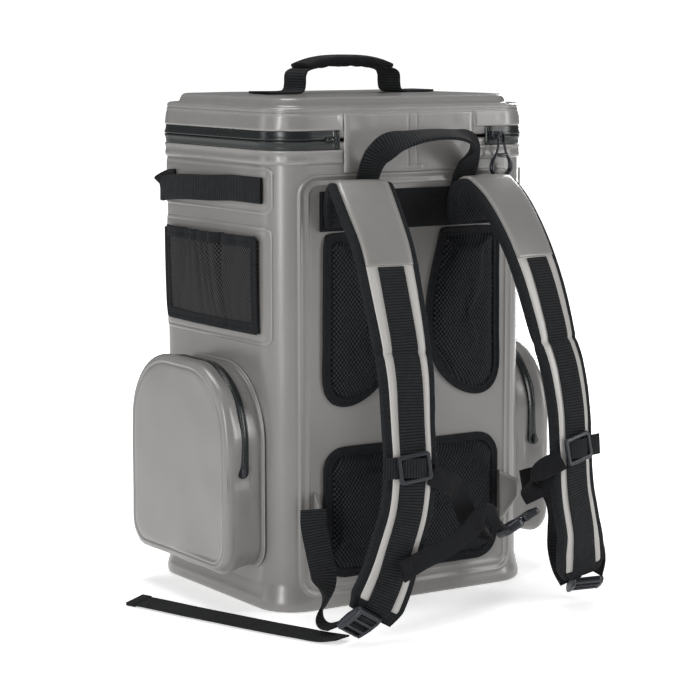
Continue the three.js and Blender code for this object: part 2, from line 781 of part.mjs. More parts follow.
// Slider on a strap that holds the sternum strap, and the short band from the strap's outer edge to it
const glideFrame = 26;
const bandReach = 0.3;
function makeGlide(hand, route) {
  const inward = hand === 'left' ? 1 : -1;
  const frame = route[glideFrame];
  const bandOff = frame.thickness / 2 + 2 * gap + 1.5 * webThickness;
  const glideOff = bandOff + webThickness / 2 + gap + glideThickness / 2;
  const at = (across, off) => frame.centre.clone()
    .addScaledVector(frame.side, inward * across * frame.width)
    .addScaledVector(frame.face, off);
  const [half, rail] = [glideWidth / 2, glideHeight / 2 - 5];
  const windows = [[-half + 6, half - 6, -rail, rail]];
  const centre = at(0, glideOff);
  const geometry = plate(glideWidth, glideHeight, glideThickness, 3, windows, centre, frame.side, frame.along);
  add(`tri_glide_${hand}`, geometry, nylon);
  const rows = [at(-0.52, bandOff), at(bandReach, bandOff)].map((p) => [...p.toArray(), ...frame.along.toArray()]);
  const band = ribbon(makeRoute(rows, 4, sternumWidth, webThickness * 0.8), flatSection);
  add(`sternum_band_${hand}`, band, webbing);
}

// Free webbing. Each row is [across, out, up, sideAcross, sideOut, sideUp]: across as a share of half
// the body's width, out of the strap's reach, up of the crest's height.
function freeWeb(rows, steps, width) {
  const placed = rows.map(([across, out, up, ...side]) => [
    (across * bodyWidth) / 2,
    backFace - out * strapReach,
    up * strapTop,
    ...side,
  ]);
  return ribbon(makeRoute(placed, steps, width, webThickness * 0.8), flatSection);
}

const sternumLeftRows = [
  [-0.515, 1.06, 0.378, 0.25, 0, 0.96],
  [-0.37, 1.04, 0.35, 0.3, 0, 0.95],
  [-0.275, 0.985, 0.332, 0.6, -0.1, 0.8],
  [-0.205, 0.945, 0.298, 0.9, -0.2, 0.4],
  [-0.14, 0.915, 0.257, 0.8, -0.1, 0.6],
  [-0.06, 0.9, 0.228, 0.3, 0.3, 0.9],
  [0.045, 0.895, 0.208, -0.2, 0.8, 0.5],
];
const sternumTailRows = [
  [0.1, 0.965, 0.234, -0.25, 0.75, 0.6],
  [0.02, 0.985, 0.252, 0.3, 0.3, 0.9],
  [-0.06, 1.01, 0.266, 0.6, 0, 0.8],
  [-0.13, 1.035, 0.258, 0.1, 0.3, 0.95],
  [-0.22, 1.045, 0.234, -0.3, 0, 0.95],
  [-0.37, 1.055, 0.208, -0.3, 0, 0.95],
  [-0.56, 1.065, 0.188, -0.15, 0, 0.98],
  [-0.74, 1.075, 0.165, -0.3, 0, 0.95],
];
const sternumRightRows = [
  [0.39, 0.925, 0.275, 0.8, -0.5, 0.2],
  [0.345, 0.93, 0.3, 0.85, -0.3, 0],
  [0.34, 0.94, 0.325, 0.6, 0.5, 0.3],
  [0.4, 0.985, 0.35, 0.3, 0.2, 0.9],
  [0.495, 1.07, 0.375, -0.3, 0, 0.94],
];
function makeSternumStrap() {
  add('sternum_strap_left', freeWeb(sternumLeftRows, 18, sternumWidth), webbing);
  add('sternum_tail', freeWeb(sternumTailRows, 20, sternumWidth), webbing);
  add('sternum_strap_right', freeWeb(sternumRightRows, 14, sternumWidth), webbing);
}

// Closed side release buckle: the socket and the plug lie end to end on one axis
const buckleCentre = [0.247, 0.925, 0.228];
const buckleAlong = new THREE.Vector3(0.91, 0, 0.41);
const buckleAcross = new THREE.Vector3(-0.537, -0.832, 0.136);
function makeBuckle() {
  const [across, out, up] = buckleCentre;
  const centre = new THREE.Vector3((across * bodyWidth) / 2, backFace - out * strapReach, up * strapTop);
  const socketLength = buckleLength * 0.55;
  const plugLength = buckleLength - socketLength - gap;
  const along = buckleAlong.clone().normalize();
  const socketAt = centre.clone().addScaledVector(along, -(buckleLength - socketLength) / 2);
  const plugAt = centre.clone().addScaledVector(along, (buckleLength - plugLength) / 2);
  const socket = plate(buckleWidth, socketLength, buckleThickness, 4, [], socketAt, buckleAcross, along);
  const slot = [[-buckleWidth * 0.38, buckleWidth * 0.38, 0, plugLength * 0.3]];
  const plug = plate(buckleWidth * 0.9, plugLength, buckleThickness * 0.75, 3, slot, plugAt, buckleAcross, along);
  add('buckle_socket', socket, nylon);
  add('buckle_plug', plug, nylon);
}

// Ladder locks at the straps' lower ends. The left one leans on the ground, the right one hangs.
const lockPlaces = {
  left: { at: [-0.965, 0.937, 0.034], across: [0.85, 0.15, -0.45], along: [-0.486, 0.6, -0.6] },
  right: { at: [0.905, 0.79, 0.037], across: [0.93, -0.36, 0.05], along: [0.36, 0.8, -0.48] },
};
function makeLocks() {
  const half = lockWidth / 2 - 4;
  const windows = [[-half, half, -10, -5], [-half, half, 3, 8]];
  for (const [hand, { at, across, along }] of Object.entries(lockPlaces)) {
    const centre = new THREE.Vector3((at[0] * bodyWidth) / 2, backFace - at[1] * strapReach, at[2] * strapTop);
    const x = new THREE.Vector3(...across);
    const y = new THREE.Vector3(...along);
    const geometry = plate(lockWidth, lockLength, lockThickness, 4, windows, centre, x, y);
    geometry.computeBoundingBox();
    geometry.translate(0, 0, Math.max(0, gap - geometry.boundingBox.min.z));
    add(`ladder_lock_${hand}`, geometry, nylon);
  }
}

// Gussets: triangles of coated fabric welded to the lower corners of the back, one for each adjuster.
// Each corner is [across, out, up] as free webbing has it.
const gussetCorners = [
  [-0.735, 0, 0.285],
  [-0.745, 0, 0.15],
  [-0.8, 0.15, 0.225],
  [-0.795, 0.15, 0.265],
];
function makeGusset() {
  const corners = gussetCorners.map(([across, out, up]) => (
    new THREE.Vector3((across * bodyWidth) / 2, backFace - gap - out * strapReach, up * strapTop)));
  const layer = (shift) => corners.map((p) => p.clone().add(new THREE.Vector3(shift, 0, 0)));
  return loft([layer(-gussetThickness / 2), layer(gussetThickness / 2)]);
}

// Adjuster webbing from each gusset to its ladder lock, and the free ends beyond the locks
const adjusterLeftRows = [
  [-0.845, 0.17, 0.258, 0.75, -0.4, 0.5],
  [-0.865, 0.21, 0.225, 0.8, -0.45, 0.35],
  [-0.87, 0.285, 0.165, 0.84, -0.5, 0.1],
  [-0.88, 0.36, 0.115, 0.84, -0.3, 0],
  [-0.93, 0.44, 0.075, 0.6, 0.6, 0],
  [-1, 0.54, 0.048, 0.4, 0.85, 0],
  [-1.02, 0.63, 0.03, 0.6, 0.75, 0.1],
  [-1, 0.72, 0.028, 0.85, 0.5, 0.1],
];
const adjusterRightRows = [
  [0.815, 0.17, 0.258, 0.2, -0.1, 0.95],
  [0.84, 0.26, 0.27, 0.4, 0, 0.9],
  [0.875, 0.36, 0.268, 0.7, 0.1, 0.7],
  [0.905, 0.44, 0.235, 0.85, 0, 0.4],
  [0.905, 0.485, 0.195, 0.9, -0.1, 0.1],
  [0.885, 0.515, 0.155, 0.9, -0.2, 0],
  [0.865, 0.55, 0.115, 0.9, -0.3, 0],
  [0.87, 0.6, 0.07, 0.9, -0.3, 0.1],
  [0.885, 0.66, 0.04, 0.92, -0.3, 0],
];
const tailLeftRows = [
  [-1.03, 0.84, 0.013, 0.9, 0.35, -0.04],
  [-1.085, 0.72, 0.0062, 0.88, 0.45, 0.1],
  [-1.165, 0.53, 0.0066, 0.86, 0.5, 0.12],
  [-1.27, 0.25, 0.0066, 0.88, 0.42, 0.12],
  [-1.37, -0.05, 0.0066, 0.92, 0.35, 0.12],
  [-1.47, -0.35, 0.0066, 0.93, 0.3, 0.12],
  [-1.57, -0.68, 0.0066, 0.85, 0.5, 0.12],
  [-1.63, -0.85, 0.0066, 0.7, 0.7, 0.12],
];
const tailRightRows = [
  [1.02, 0.775, 0.06, 0.3, 0.9, 0],
  [1.04, 0.78, 0.1, 0.3, 0.95, 0],
  [1.015, 0.77, 0.145, 0.2, 0.95, 0],
  [0.95, 0.74, 0.18, 0.1, 0.95, 0],
];
function makeAdjusters() {
  add('adjuster_strap_left', freeWeb(adjusterLeftRows, 22, webWidth), webbing);
  add('adjuster_strap_right', freeWeb(adjusterRightRows, 20, webWidth), webbing);
  add('adjuster_tail_left', freeWeb(tailLeftRows, 24, webWidth), webbing);
  add('adjuster_tail_right', freeWeb(tailRightRows, 10, webWidth), webbing);
}

add('body_tub', makeTub(), coatedFabric);
add('lid', makeLid(), coatedFabric);
add('zipper_frame', makeZipperFrame(), coatedFabric);
add('lid_zipper', makeLidZipper(), zipperRubber);
add('lid_hinge', makeHinge(), coatedFabric);
add('zipper_pull', makePull(), nylon);
add('snap_hook', makeHook(), plated);
makeTopHandle();

addPair('handle_patch', makePatch(handlePatchReach, handlePatchBottom, handlePatchHeight), coatedFabric);
addPair('side_handle', makeSideHandle(), webbing);
addPair('mesh_patch', makePatch(meshPatchReach, meshPatchBottom, meshPatchHeight), coatedFabric);
addPair('mesh_pocket', makeMeshPocket(), netting);
addPair('zip_pocket', makeZipPocket(), coatedFabric);
addPair('pocket_zipper', makePocketZipper(), zipperRubber);

add('yoke_webbing', makeYoke(), webbing);
add('haul_loop', makeHaulLoop(), webbing);
makePads();
for (const hand of ['left', 'right']) {
  const route = strapRoute(hand);
  makeStrap(hand, route);
  makeGlide(hand, route);
}
makeSternumStrap();
makeBuckle();
makeLocks();
addPair('gusset', makeGusset(), coatedFabric);
makeAdjusters();

export default group;
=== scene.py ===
"""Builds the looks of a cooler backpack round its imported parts, and the plain studio it stands in."""

import math

import bpy
import numpy as np
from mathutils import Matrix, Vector, noise


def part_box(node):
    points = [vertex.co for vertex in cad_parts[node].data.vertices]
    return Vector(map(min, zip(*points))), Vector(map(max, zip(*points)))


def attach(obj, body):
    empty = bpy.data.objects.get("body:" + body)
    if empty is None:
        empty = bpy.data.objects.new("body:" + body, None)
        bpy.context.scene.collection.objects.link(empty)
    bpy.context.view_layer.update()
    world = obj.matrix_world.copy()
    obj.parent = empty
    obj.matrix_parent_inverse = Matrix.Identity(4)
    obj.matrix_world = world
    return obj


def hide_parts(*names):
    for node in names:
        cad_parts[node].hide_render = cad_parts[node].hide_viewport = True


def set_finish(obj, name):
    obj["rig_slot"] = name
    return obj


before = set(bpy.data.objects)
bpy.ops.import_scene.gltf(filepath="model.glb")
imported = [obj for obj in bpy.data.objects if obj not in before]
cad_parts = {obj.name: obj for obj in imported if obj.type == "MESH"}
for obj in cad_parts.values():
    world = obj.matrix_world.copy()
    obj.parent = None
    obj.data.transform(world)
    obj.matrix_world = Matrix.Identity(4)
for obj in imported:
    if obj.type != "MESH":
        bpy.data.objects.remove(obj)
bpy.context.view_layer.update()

# Camera
# It looks at the bag's left side and harness from slightly above, from a few metres away, with a
# long lens that keeps the case's edges nearly parallel.
camera_data = bpy.data.cameras.new("camera")
camera_data.lens = 120.3
camera_data.sensor_width = 36
camera_data.clip_end = 50
camera = bpy.data.objects.new("camera", camera_data)
camera.location = (-1.27157, -1.98558, 0.55539)
camera.rotation_euler = (math.radians(90 - 7.833), 0, math.radians(-32.835))
bpy.context.collection.objects.link(camera)
bpy.context.scene.camera = camera

# Studio
# A white paper floor that runs out of sight, a bright white room and five soft boxes: a large one
# overhead, narrow ones at the left and the back that draw the bright edges, and two wider ones.
bpy.context.scene.view_settings.view_transform = "Standard"


def put(tree, kind, inputs, **settings):
    """Adds a shader node; an input that is a socket is linked, and any other value is set."""
    node = tree.nodes.new(kind)
    for key, value in settings.items():
        setattr(node, key, value)
    for key, value in inputs.items():
        if isinstance(value, bpy.types.NodeSocket):
            tree.links.new(value, node.inputs[key])
        else:
            node.inputs[key].default_value = value
    return node


# The room is white to the camera and dimmer to the bag, so that the soft boxes shape it
world = bpy.data.worlds.new("room")
world.use_nodes = True
room = world.node_tree
room_light = room.nodes["Background"]
room_light.inputs["Color"].default_value = (1, 1, 1, 1)
room_light.inputs["Strength"].default_value = 0.14
room_seen = put(room, "ShaderNodeBackground", {"Color": (1, 1, 1, 1), "Strength": 1.05})
room_rays = put(room, "ShaderNodeLightPath", {})
room_mix = put(room, "ShaderNodeMixShader", {
    0: room_rays.outputs["Is Camera Ray"], 1: room_light.outputs[0], 2: room_seen.outputs[0]})
room.links.new(room_mix.outputs[0], room.nodes["World Output"].inputs["Surface"])
bpy.context.scene.world = world

floor_mesh = bpy.data.meshes.new("floor")
floor_mesh.from_pydata([(-9, -9, -0.0004), (9, -9, -0.0004), (9, 9, -0.0004), (-9, 9, -0.0004)], [],
                       [(0, 1, 2, 3)])
floor = bpy.data.objects.new("floor", floor_mesh)
bpy.context.collection.objects.link(floor)
paper = bpy.data.materials.new("paper")
paper.use_nodes = True
paper_shader = paper.node_tree.nodes["Principled BSDF"]
paper_shader.inputs["Base Color"].default_value = (0.93, 0.93, 0.93, 1)
paper_shader.inputs["Roughness"].default_value = 0.9
paper_shader.inputs["Specular IOR Level"].default_value = 0.1
paper_shader.inputs["Emission Color"].default_value = (1, 1, 1, 1)
# The paper glows: a faint painted glow that also lights the bag, and to the camera a stronger one that grows
# as it runs away from the bag, until it melts into the room
paper_place = put(paper.node_tree, "ShaderNodeTexCoord", {})
paper_far = put(paper.node_tree, "ShaderNodeVectorMath", {0: paper_place.outputs["Object"]},
                operation="LENGTH")
paper_glow = put(paper.node_tree, "ShaderNodeMapRange", {
    "Value": paper_far.outputs["Value"], "From Min": 0.2, "From Max": 0.8, "To Min": 0.25, "To Max": 0.9})
paper_rays = put(paper.node_tree, "ShaderNodeLightPath", {})
paper_light = put(paper.node_tree, "ShaderNodeMath", {
    0: paper_glow.outputs["Result"], 1: paper_rays.outputs["Is Camera Ray"], 2: 0.25},
    operation="MULTIPLY_ADD")
paper.node_tree.links.new(paper_light.outputs[0], paper_shader.inputs["Emission Strength"])
floor_mesh.materials.append(paper)

# Each row is name, place, what it points at, width, height and power
SOFT_BOXES = [
    ("overhead", (-0.2, 0.2, 2.4), (0, 0, 0.3), 1.2, 1.2, 26),
    ("left", (-2.5, -1.3, 1.0), (0, 0, 0.25), 0.4, 1.9, 38),
    ("far left", (-2.4, 1.2, 1.0), (0, 0, 0.25), 0.6, 1.6, 7),
    ("right", (2.0, -2.0, 1.0), (0, -0.1, 0.25), 0.6, 1.8, 30),
    ("edge", (1.9, 1.2, 0.9), (0.1, 0, 0.3), 0.3, 1.8, 24),
]
for light_name, place, target, light_width, light_height, power in SOFT_BOXES:
    light_data = bpy.data.lights.new(light_name, "AREA")
    light_data.shape = "RECTANGLE"
    light_data.size = light_width
    light_data.size_y = light_height
    light_data.energy = power
    light = bpy.data.objects.new(light_name, light_data)
    light.location = place
    light.rotation_euler = (Vector(target) - Vector(place)).to_track_quat("-Z", "Y").to_euler()
    bpy.context.collection.objects.link(light)

# Case
# An insulated tub of coated fabric welded over foam. The back carries a welded panel whose edge is a
# raised double line, and the foot flares out a little where the bottom is welded on.
MM = 0.001
WIDTH = 296 * MM
DEPTH = 242 * MM
CORNER = 36 * MM
BACK = -DEPTH / 2
SIDE = -WIDTH / 2
HALF_ROUND = (WIDTH + DEPTH) - 4 * CORNER + math.pi * CORNER


def new_group(name, inputs, outputs):
    """A shader node group; returns its tree, its input sockets and its output sockets."""
    tree = bpy.data.node_groups.new(name, "ShaderNodeTree")
    for socket, value in inputs:
        tree.interface.new_socket(socket, in_out="INPUT",
                                  socket_type="NodeSocketFloat").default_value = value
    for socket in outputs:
        tree.interface.new_socket(socket, in_out="OUTPUT", socket_type="NodeSocketFloat")
    return tree, tree.nodes.new("NodeGroupInput").outputs, tree.nodes.new("NodeGroupOutput").inputs


def math_node(tree, operation, *values):
    return put(tree, "ShaderNodeMath", dict(enumerate(values)), operation=operation).outputs[0]


# Fine pebble grain of a coated cloth, with slow clouds of tone
grain_tree, grain_in, grain_out = new_group("coated grain", [("Grain", 1400.0), ("Cloud", 14.0)],
                                            ["Height", "Tone"])
place_node = put(grain_tree, "ShaderNodeTexCoord", {})
fine = put(grain_tree, "ShaderNodeTexVoronoi",
           {"Vector": place_node.outputs["Object"], "Scale": grain_in["Grain"]})
cloud = put(grain_tree, "ShaderNodeTexNoise", {
    "Vector": place_node.outputs["Object"], "Scale": grain_in["Cloud"], "Detail": 3.0, "Roughness": 0.55})
grain_tree.links.new(fine.outputs["Distance"], grain_out["Height"])
grain_tree.links.new(cloud.outputs[0], grain_out["Tone"])

# Painted highlight: light that catches on convex edges
highlight_tree, highlight_in, highlight_out = new_group("edge highlight", [("Reach", 0.06)], ["Edge"])
shape_node = put(highlight_tree, "ShaderNodeNewGeometry", {})
edge_high = math_node(highlight_tree, "ADD", 0.5, highlight_in["Reach"])
edge = put(highlight_tree, "ShaderNodeMapRange", {
    "Value": shape_node.outputs["Pointiness"], "From Min": 0.5, "From Max": edge_high})
highlight_tree.links.new(edge.outputs["Result"], highlight_out["Edge"])

# A film of dust that gathers on faces turned up
dust_tree, dust_in, dust_out = new_group("dust", [("Amount", 0.1)], ["Dust"])
dust_place = put(dust_tree, "ShaderNodeTexCoord", {})
upright = put(dust_tree, "ShaderNodeSeparateXYZ", {0: dust_place.outputs["Normal"]})
specks = put(dust_tree, "ShaderNodeTexNoise",
             {"Vector": dust_place.outputs["Object"], "Scale": 90.0, "Detail": 5.0})
dust_up = math_node(dust_tree, "MAXIMUM", upright.outputs["Z"], 0.15)
dust_share = math_node(dust_tree, "MULTIPLY", dust_up, specks.outputs[0])
dust_tree.links.new(math_node(dust_tree, "MULTIPLY", dust_share, dust_in["Amount"]), dust_out["Dust"])


def use_group(tree, name, **values):
    node = tree.nodes.new("ShaderNodeGroup")
    node.node_tree = bpy.data.node_groups[name]
    for key, value in values.items():
        node.inputs[key].default_value = value
    return node.outputs


def mix_colour(tree, factor, first, second):
    """Blends two colours, each a socket or a colour, by a factor that is a socket."""
    node = put(tree, "ShaderNodeMix", {0: factor}, data_type="RGBA")
    for index, colour in ((6, first), (7, second)):
        if isinstance(colour, bpy.types.NodeSocket):
            tree.links.new(colour, node.inputs[index])
        else:
            node.inputs[index].default_value = colour
    return node.outputs[2]


def coated_material(name, colour, dark, roughness, coat):
    """Coated fabric: satin, with a fine grain, and a painted highlight that makes it a little paler on its
    convex edges, where it is welded or bent.
    """
    material = bpy.data.materials.new(name)
    material.use_nodes = True
    tree = material.node_tree
    shader = tree.nodes["Principled BSDF"]
    grain = use_group(tree, "coated grain")
    highlight = use_group(tree, "edge highlight", Reach=0.05)
    dust = use_group(tree, "dust", Amount=0.1)
    base = mix_colour(tree, grain["Tone"], dark, colour)
    # Painted highlight: the convex edges are painted a little paler
    pale = mix_colour(tree, math_node(tree, "MULTIPLY", highlight["Edge"], 0.25), base, (0.5, 0.49, 0.47, 1))
    tree.links.new(mix_colour(tree, dust["Dust"], pale, (0.6, 0.58, 0.55, 1)), shader.inputs["Base Color"])
    rough = put(tree, "ShaderNodeMapRange", {
        "Value": grain["Tone"], "To Min": roughness - 0.05, "To Max": roughness + 0.06})
    tree.links.new(rough.outputs["Result"], shader.inputs["Roughness"])
    shader.inputs["Specular IOR Level"].default_value = 0.45
    shader.inputs["Coat Weight"].default_value = coat
    shader.inputs["Coat Roughness"].default_value = 0.26
    bump = put(tree, "ShaderNodeBump", {"Height": grain["Height"], "Strength": 0.1, "Distance": 0.0004})
    tree.links.new(bump.outputs["Normal"], shader.inputs["Normal"])
    return material


case_fabric = coated_material("case fabric", (0.232, 0.224, 0.215, 1), (0.188, 0.182, 0.175, 1), 0.34, 0.8)


def make_piece(name, points, faces, material, slot, uv=None, replaces=()):
    """A smooth mesh that rides on the bag; faces may be quads or longer lists, and uv is in metres."""
    mesh = bpy.data.meshes.new(name)
    mesh.from_pydata([tuple(p) for p in np.asarray(points, float).tolist()], [], [list(f) for f in faces])
    mesh.update()
    volume = sum(p.center.dot(p.normal) * p.area for p in mesh.polygons)
    if volume < 0:
        mesh.flip_normals()
    if uv is not None:
        layer = mesh.uv_layers.new(name="UVMap")
        corners = np.empty(len(mesh.loops), dtype=np.int32)
        mesh.loops.foreach_get("vertex_index", corners)
        layer.data.foreach_set("uv", np.asarray(uv, np.float32)[corners].ravel())
    mesh.shade_smooth()
    mesh.materials.append(material)
    obj = bpy.data.objects.new(name, mesh)
    bpy.context.collection.objects.link(obj)
    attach(obj, "root")
    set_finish(obj, slot)
    if replaces:
        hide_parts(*replaces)
    return obj


def grid_faces(columns, rows, loop_columns=False, loop_rows=False):
    """Quads of a grid whose points are stored row by row."""
    faces = []
    for j in range(rows if loop_rows else rows - 1):
        for i in range(columns if loop_columns else columns - 1):
            k = (i + 1) % columns
            above = ((j + 1) % rows) * columns
            faces.append((j * columns + i, j * columns + k, above + k, above + i))
    return faces


def closed_sheet(columns, rows):
    """Faces of a thin closed sheet: a front grid, its back stored after it, and a border."""
    total = columns * rows
    front = grid_faces(columns, rows)
    ring = list(range(columns)) + [columns * (j + 1) - 1 for j in range(1, rows)]
    ring += list(range(total - 2, columns * (rows - 1) - 1, -1)) + [columns * j for j in range(rows - 2, 0,
                                                                                               -1)]
    border = [(ring[i], ring[i - 1], ring[i - 1] + total, ring[i] + total) for i in range(len(ring))]
    return front + [tuple(i + total for i in face[::-1]) for face in front] + border


def ticks(*spans):
    """Sorted places from several (start, end, step) spans; a finer span rules where spans overlap."""
    kept = []
    for start, end, step in sorted(spans, key=lambda span: span[2]):
        count = max(1, round((end - start) / step))
        for value in np.linspace(start, end, count + 1):
            if all(abs(value - other) > 0.45 * step for other in kept):
                kept.append(value)
    return np.array(sorted(kept))


def wall(run, grow):
    """Points and outward directions on the case's outline.

    run is the distance from the middle of the back, positive towards the left side, and grow moves the
    outline outwards.
    """
    run, grow = np.broadcast_arrays(np.asarray(run, float), np.asarray(grow, float))
    far = np.abs(run)
    radius = np.maximum(CORNER + grow, MM)
    straight_x = WIDTH / 2 + grow - radius
    straight_y = DEPTH / 2 + grow - radius
    flat_x, arc, flat_y = WIDTH / 2 - CORNER, CORNER * math.pi / 2, DEPTH - 2 * CORNER
    first = np.clip(far / flat_x, 0, 1)
    turn_a = np.clip((far - flat_x) / arc, 0, 1) * math.pi / 2
    second = np.clip((far - flat_x - arc) / flat_y, 0, 1)
    turn_b = np.clip((far - flat_x - arc - flat_y) / arc, 0, 1) * math.pi / 2
    third = np.clip((far - flat_x - 2 * arc - flat_y) / flat_x, 0, 1)
    x = first * straight_x + radius * np.sin(turn_a) - radius * (1 - np.cos(turn_b)) - third * straight_x
    y = radius * (1 - np.cos(turn_a)) + radius * np.sin(turn_b) - (straight_y + radius)
    y = y + second * 2 * straight_y
    side = -np.sign(run)
    angle = turn_a + turn_b
    return x * side, y, np.sin(angle) * side, -np.cos(angle)


def rounded_distance(x, z, half, low, high, radius):
    """Signed distance to a rounded rectangle that is centred on x = 0: negative inside."""
    middle = (low + high) / 2
    qx = np.abs(x) - (half - radius)
    qz = np.abs(z - middle) - ((high - low) / 2 - radius)
    outside = np.hypot(np.maximum(qx, 0), np.maximum(qz, 0))
    return outside + np.minimum(np.maximum(qx, qz), 0) - radius


def bead(distance, width):
    return np.exp(-((distance / width) ** 2))


def step_up(distance, width):
    return 0.5 * (1 + np.tanh(distance / width))


def slow_noise(x, y, scale, seed):
    """Soft dents of a fabric over foam, the same each time."""
    flat = np.array([
        noise.noise(Vector((a / scale, b / scale, seed))) for a, b in zip(np.ravel(x), np.ravel(y))])
    return flat.reshape(np.shape(x))


# Columns round the case, close together at the panel's double line and in the corners
case_runs = ticks(
    (-HALF_ROUND, HALF_ROUND, 6 * MM),
    (109 * MM, 172 * MM, 2.4 * MM), (-172 * MM, -109 * MM, 2.4 * MM),
    (112 * MM, 130 * MM, 0.55 * MM), (-130 * MM, -112 * MM, 0.55 * MM),
    (330 * MM, 400 * MM, 3 * MM), (-400 * MM, -330 * MM, 3 * MM),
)[:-1]


def tub_relief(run, z):
    """How far the tub's skin stands out of its plain wall, in metres."""
    panel = rounded_distance(run, z, 125 * MM, 13 * MM, 419 * MM, 20 * MM)
    relief = 0.9 * step_up(-panel, 0.6 * MM) + 0.5 * bead(panel + 1.6 * MM, 1.3 * MM)
    relief += -0.75 * bead(panel + 5.5 * MM, 1.9 * MM) + 0.55 * bead(panel + 9.6 * MM, 1.2 * MM)
    relief += -0.35 * step_up(-panel - 11 * MM, 1.0 * MM)
    relief += -0.5 * bead(z - 445 * MM, 1.5 * MM) + 0.4 * bead(z - 8 * MM, 1.6 * MM)
    return relief * MM


tub_rows = ticks((26 * MM, 448 * MM, 6 * MM), (26 * MM, 34 * MM, 2 * MM), (398 * MM, 422 * MM, 0.7 * MM))
foot = [(2.8, 1.2), (3.8, 2.6), (4, 4), (3.9, 7), (3.6, 10), (3.2, 12), (2.9, 13), (2.6, 14), (2.4, 15),
        (2.1, 16), (1.9, 17), (1.7, 18), (1.5, 19), (1.3, 20), (1.1, 21), (0.9, 22), (0.5, 24)]
tub_outline = [(-118, 22), (-20, 22), (-20, 60), (-20, 250), (-20, 448), (-19.5, 449.6), (-3, 449.6),
               (-1, 449)]
tub_outline = tub_outline + [(0, z / MM) for z in tub_rows[::-1]] + foot[::-1] + [(1, 0), (-4, 0), (-118, 0)]
tub_points = []
for grow, height in tub_outline:
    x, y, nx, ny = wall(case_runs, grow * MM)
    z = np.full_like(x, height * MM)
    lift = np.zeros_like(x)
    if grow > -1 and height > 2:
        lift = tub_relief(case_runs, z)
        lift = lift + 0.5 * MM * slow_noise(case_runs, z, 0.075, 3.0) * min(1, (449 - height) / 30)
    tub_points.append(np.stack([x + nx * lift, y + ny * lift, z], axis=1))
tub_faces = grid_faces(len(case_runs), len(tub_outline), loop_columns=True)
last_ring = (len(tub_outline) - 1) * len(case_runs)
tub_faces.append(list(range(len(case_runs)))[::-1])
tub_faces.append(list(range(last_ring, last_ring + len(case_runs))))
make_piece("case_tub", np.concatenate(tub_points), tub_faces, case_fabric, "coated_fabric",
           replaces=["body_tub"])

# Lid
# A stiff foam tray turned upside down. Its top is a raised plateau inside a ledge, and the ledge is
# dimpled where the skins are welded together.


def smooth_rows(rows, count):
    """Catmull-Rom points through a table of rows, `count` for each span."""
    rows = np.array(rows, float)
    padded = np.vstack([2 * rows[0] - rows[1], rows, 2 * rows[-1] - rows[-2]])
    out = []
    for i in range(len(rows) - 1):
        a, b, c, d = padded[i:i + 4]
        for t in np.arange(count) / count:
            out.append(0.5 * (2 * b + (c - a) * t + (2 * a - 5 * b + 4 * c - d) * t**2
                              + (3 * b - a - 3 * c + d) * t**3))
    return np.array(out + [rows[-1]])


def lid_relief(run, z):
    """Welded lines of the lid's skirt, in metres."""
    back = step_up(80 * MM - np.abs(run), 1.5 * MM)
    relief = -0.55 * bead(z - 477.5 * MM, 1.0 * MM) + 0.3 * bead(z - 475.6 * MM, 0.9 * MM)
    relief = relief + back * (-0.5 * bead(run + 2 * MM, 1.1 * MM) - 0.4 * bead(run - 8 * MM, 1.1 * MM))
    return relief * MM


lid_profile = [(-20, 469), (-20, 452.5), (-2, 452.4), (0, 453.6), (0, 462)]
lid_profile += [(0, z) for z in np.arange(466, 478.5, 0.7)]
lid_profile += smooth_rows([(0, 478.4), (-0.5, 480.3), (-2, 481.7), (-4.6, 482.3), (-8, 482.4), (-11, 482.7),
                            (-12.6, 484), (-14, 487), (-15.6, 489.4), (-18.4, 490.7), (-23, 491)],
                            4).tolist()
lid_profile += [(-34, 491.2), (-50, 491.3), (-75, 491.3), (-100, 491.3), (-118, 491.3)]
lid_points = []
for grow, height in lid_profile:
    x, y, nx, ny = wall(case_runs, grow * MM)
    z = np.full_like(x, height * MM)
    lift = np.zeros_like(x)
    drop = np.zeros_like(x)
    if grow > -1 and 453 < height < 480:
        lift = lid_relief(case_runs, z) + 0.35 * MM * slow_noise(case_runs, z, 0.05, 7.0)
    elif height > 481:
        pinch = np.maximum(0, slow_noise(case_runs, case_runs * 0 + 0.01, 0.011, 2.0) - 0.12)
        drop = -2.2 * MM * pinch * bead((grow + 10.2) * MM, 2.2 * MM)
        drop = drop + 0.35 * MM * slow_noise(x, y, 0.05, 9.0)
    lid_points.append(np.stack([x + nx * lift, y + ny * lift, z + drop], axis=1))
lid_faces = grid_faces(len(case_runs), len(lid_profile), loop_columns=True)
last_ring = (len(lid_profile) - 1) * len(case_runs)
lid_faces.append(list(range(last_ring, last_ring + len(case_runs))))
lid_faces.append(list(range(len(case_runs)))[::-1])
make_piece("lid_shell", np.concatenate(lid_points), lid_faces, case_fabric, "coated_fabric",
           replaces=["lid"])

# Hinge panel
# Between the zipper's two ends the lid and the tub are joined by a welded fabric panel with a double
# seam down its middle.
hinge_x = ticks((-75 * MM, 75 * MM, 3 * MM), (-8 * MM, 14 * MM, 0.6 * MM))
hinge_z = ticks((419.3 * MM, 475.5 * MM, 3 * MM), (419.3 * MM, 430 * MM, 0.7 * MM),
                (466 * MM, 475.5 * MM, 0.8 * MM))
grid_x, grid_z = np.meshgrid(hinge_x, hinge_z)
edge_distance = rounded_distance(grid_x, grid_z, 75 * MM, 419.3 * MM, 475.5 * MM, 2 * MM)
hinge_out = 1.15 * np.tanh(-edge_distance / (0.8 * MM))
hinge_out += (-0.6 * bead(grid_x + 2 * MM, 0.9 * MM) - 0.45 * bead(grid_x - 8 * MM, 0.9 * MM)) * step_up(
    grid_z - 425 * MM, 1.5 * MM)
hinge_out += -0.5 * bead(rounded_distance(grid_x - 2 * MM, grid_z, 12 * MM, 421 * MM, 425.5 * MM, 1.5 * MM),
                         0.7 * MM)
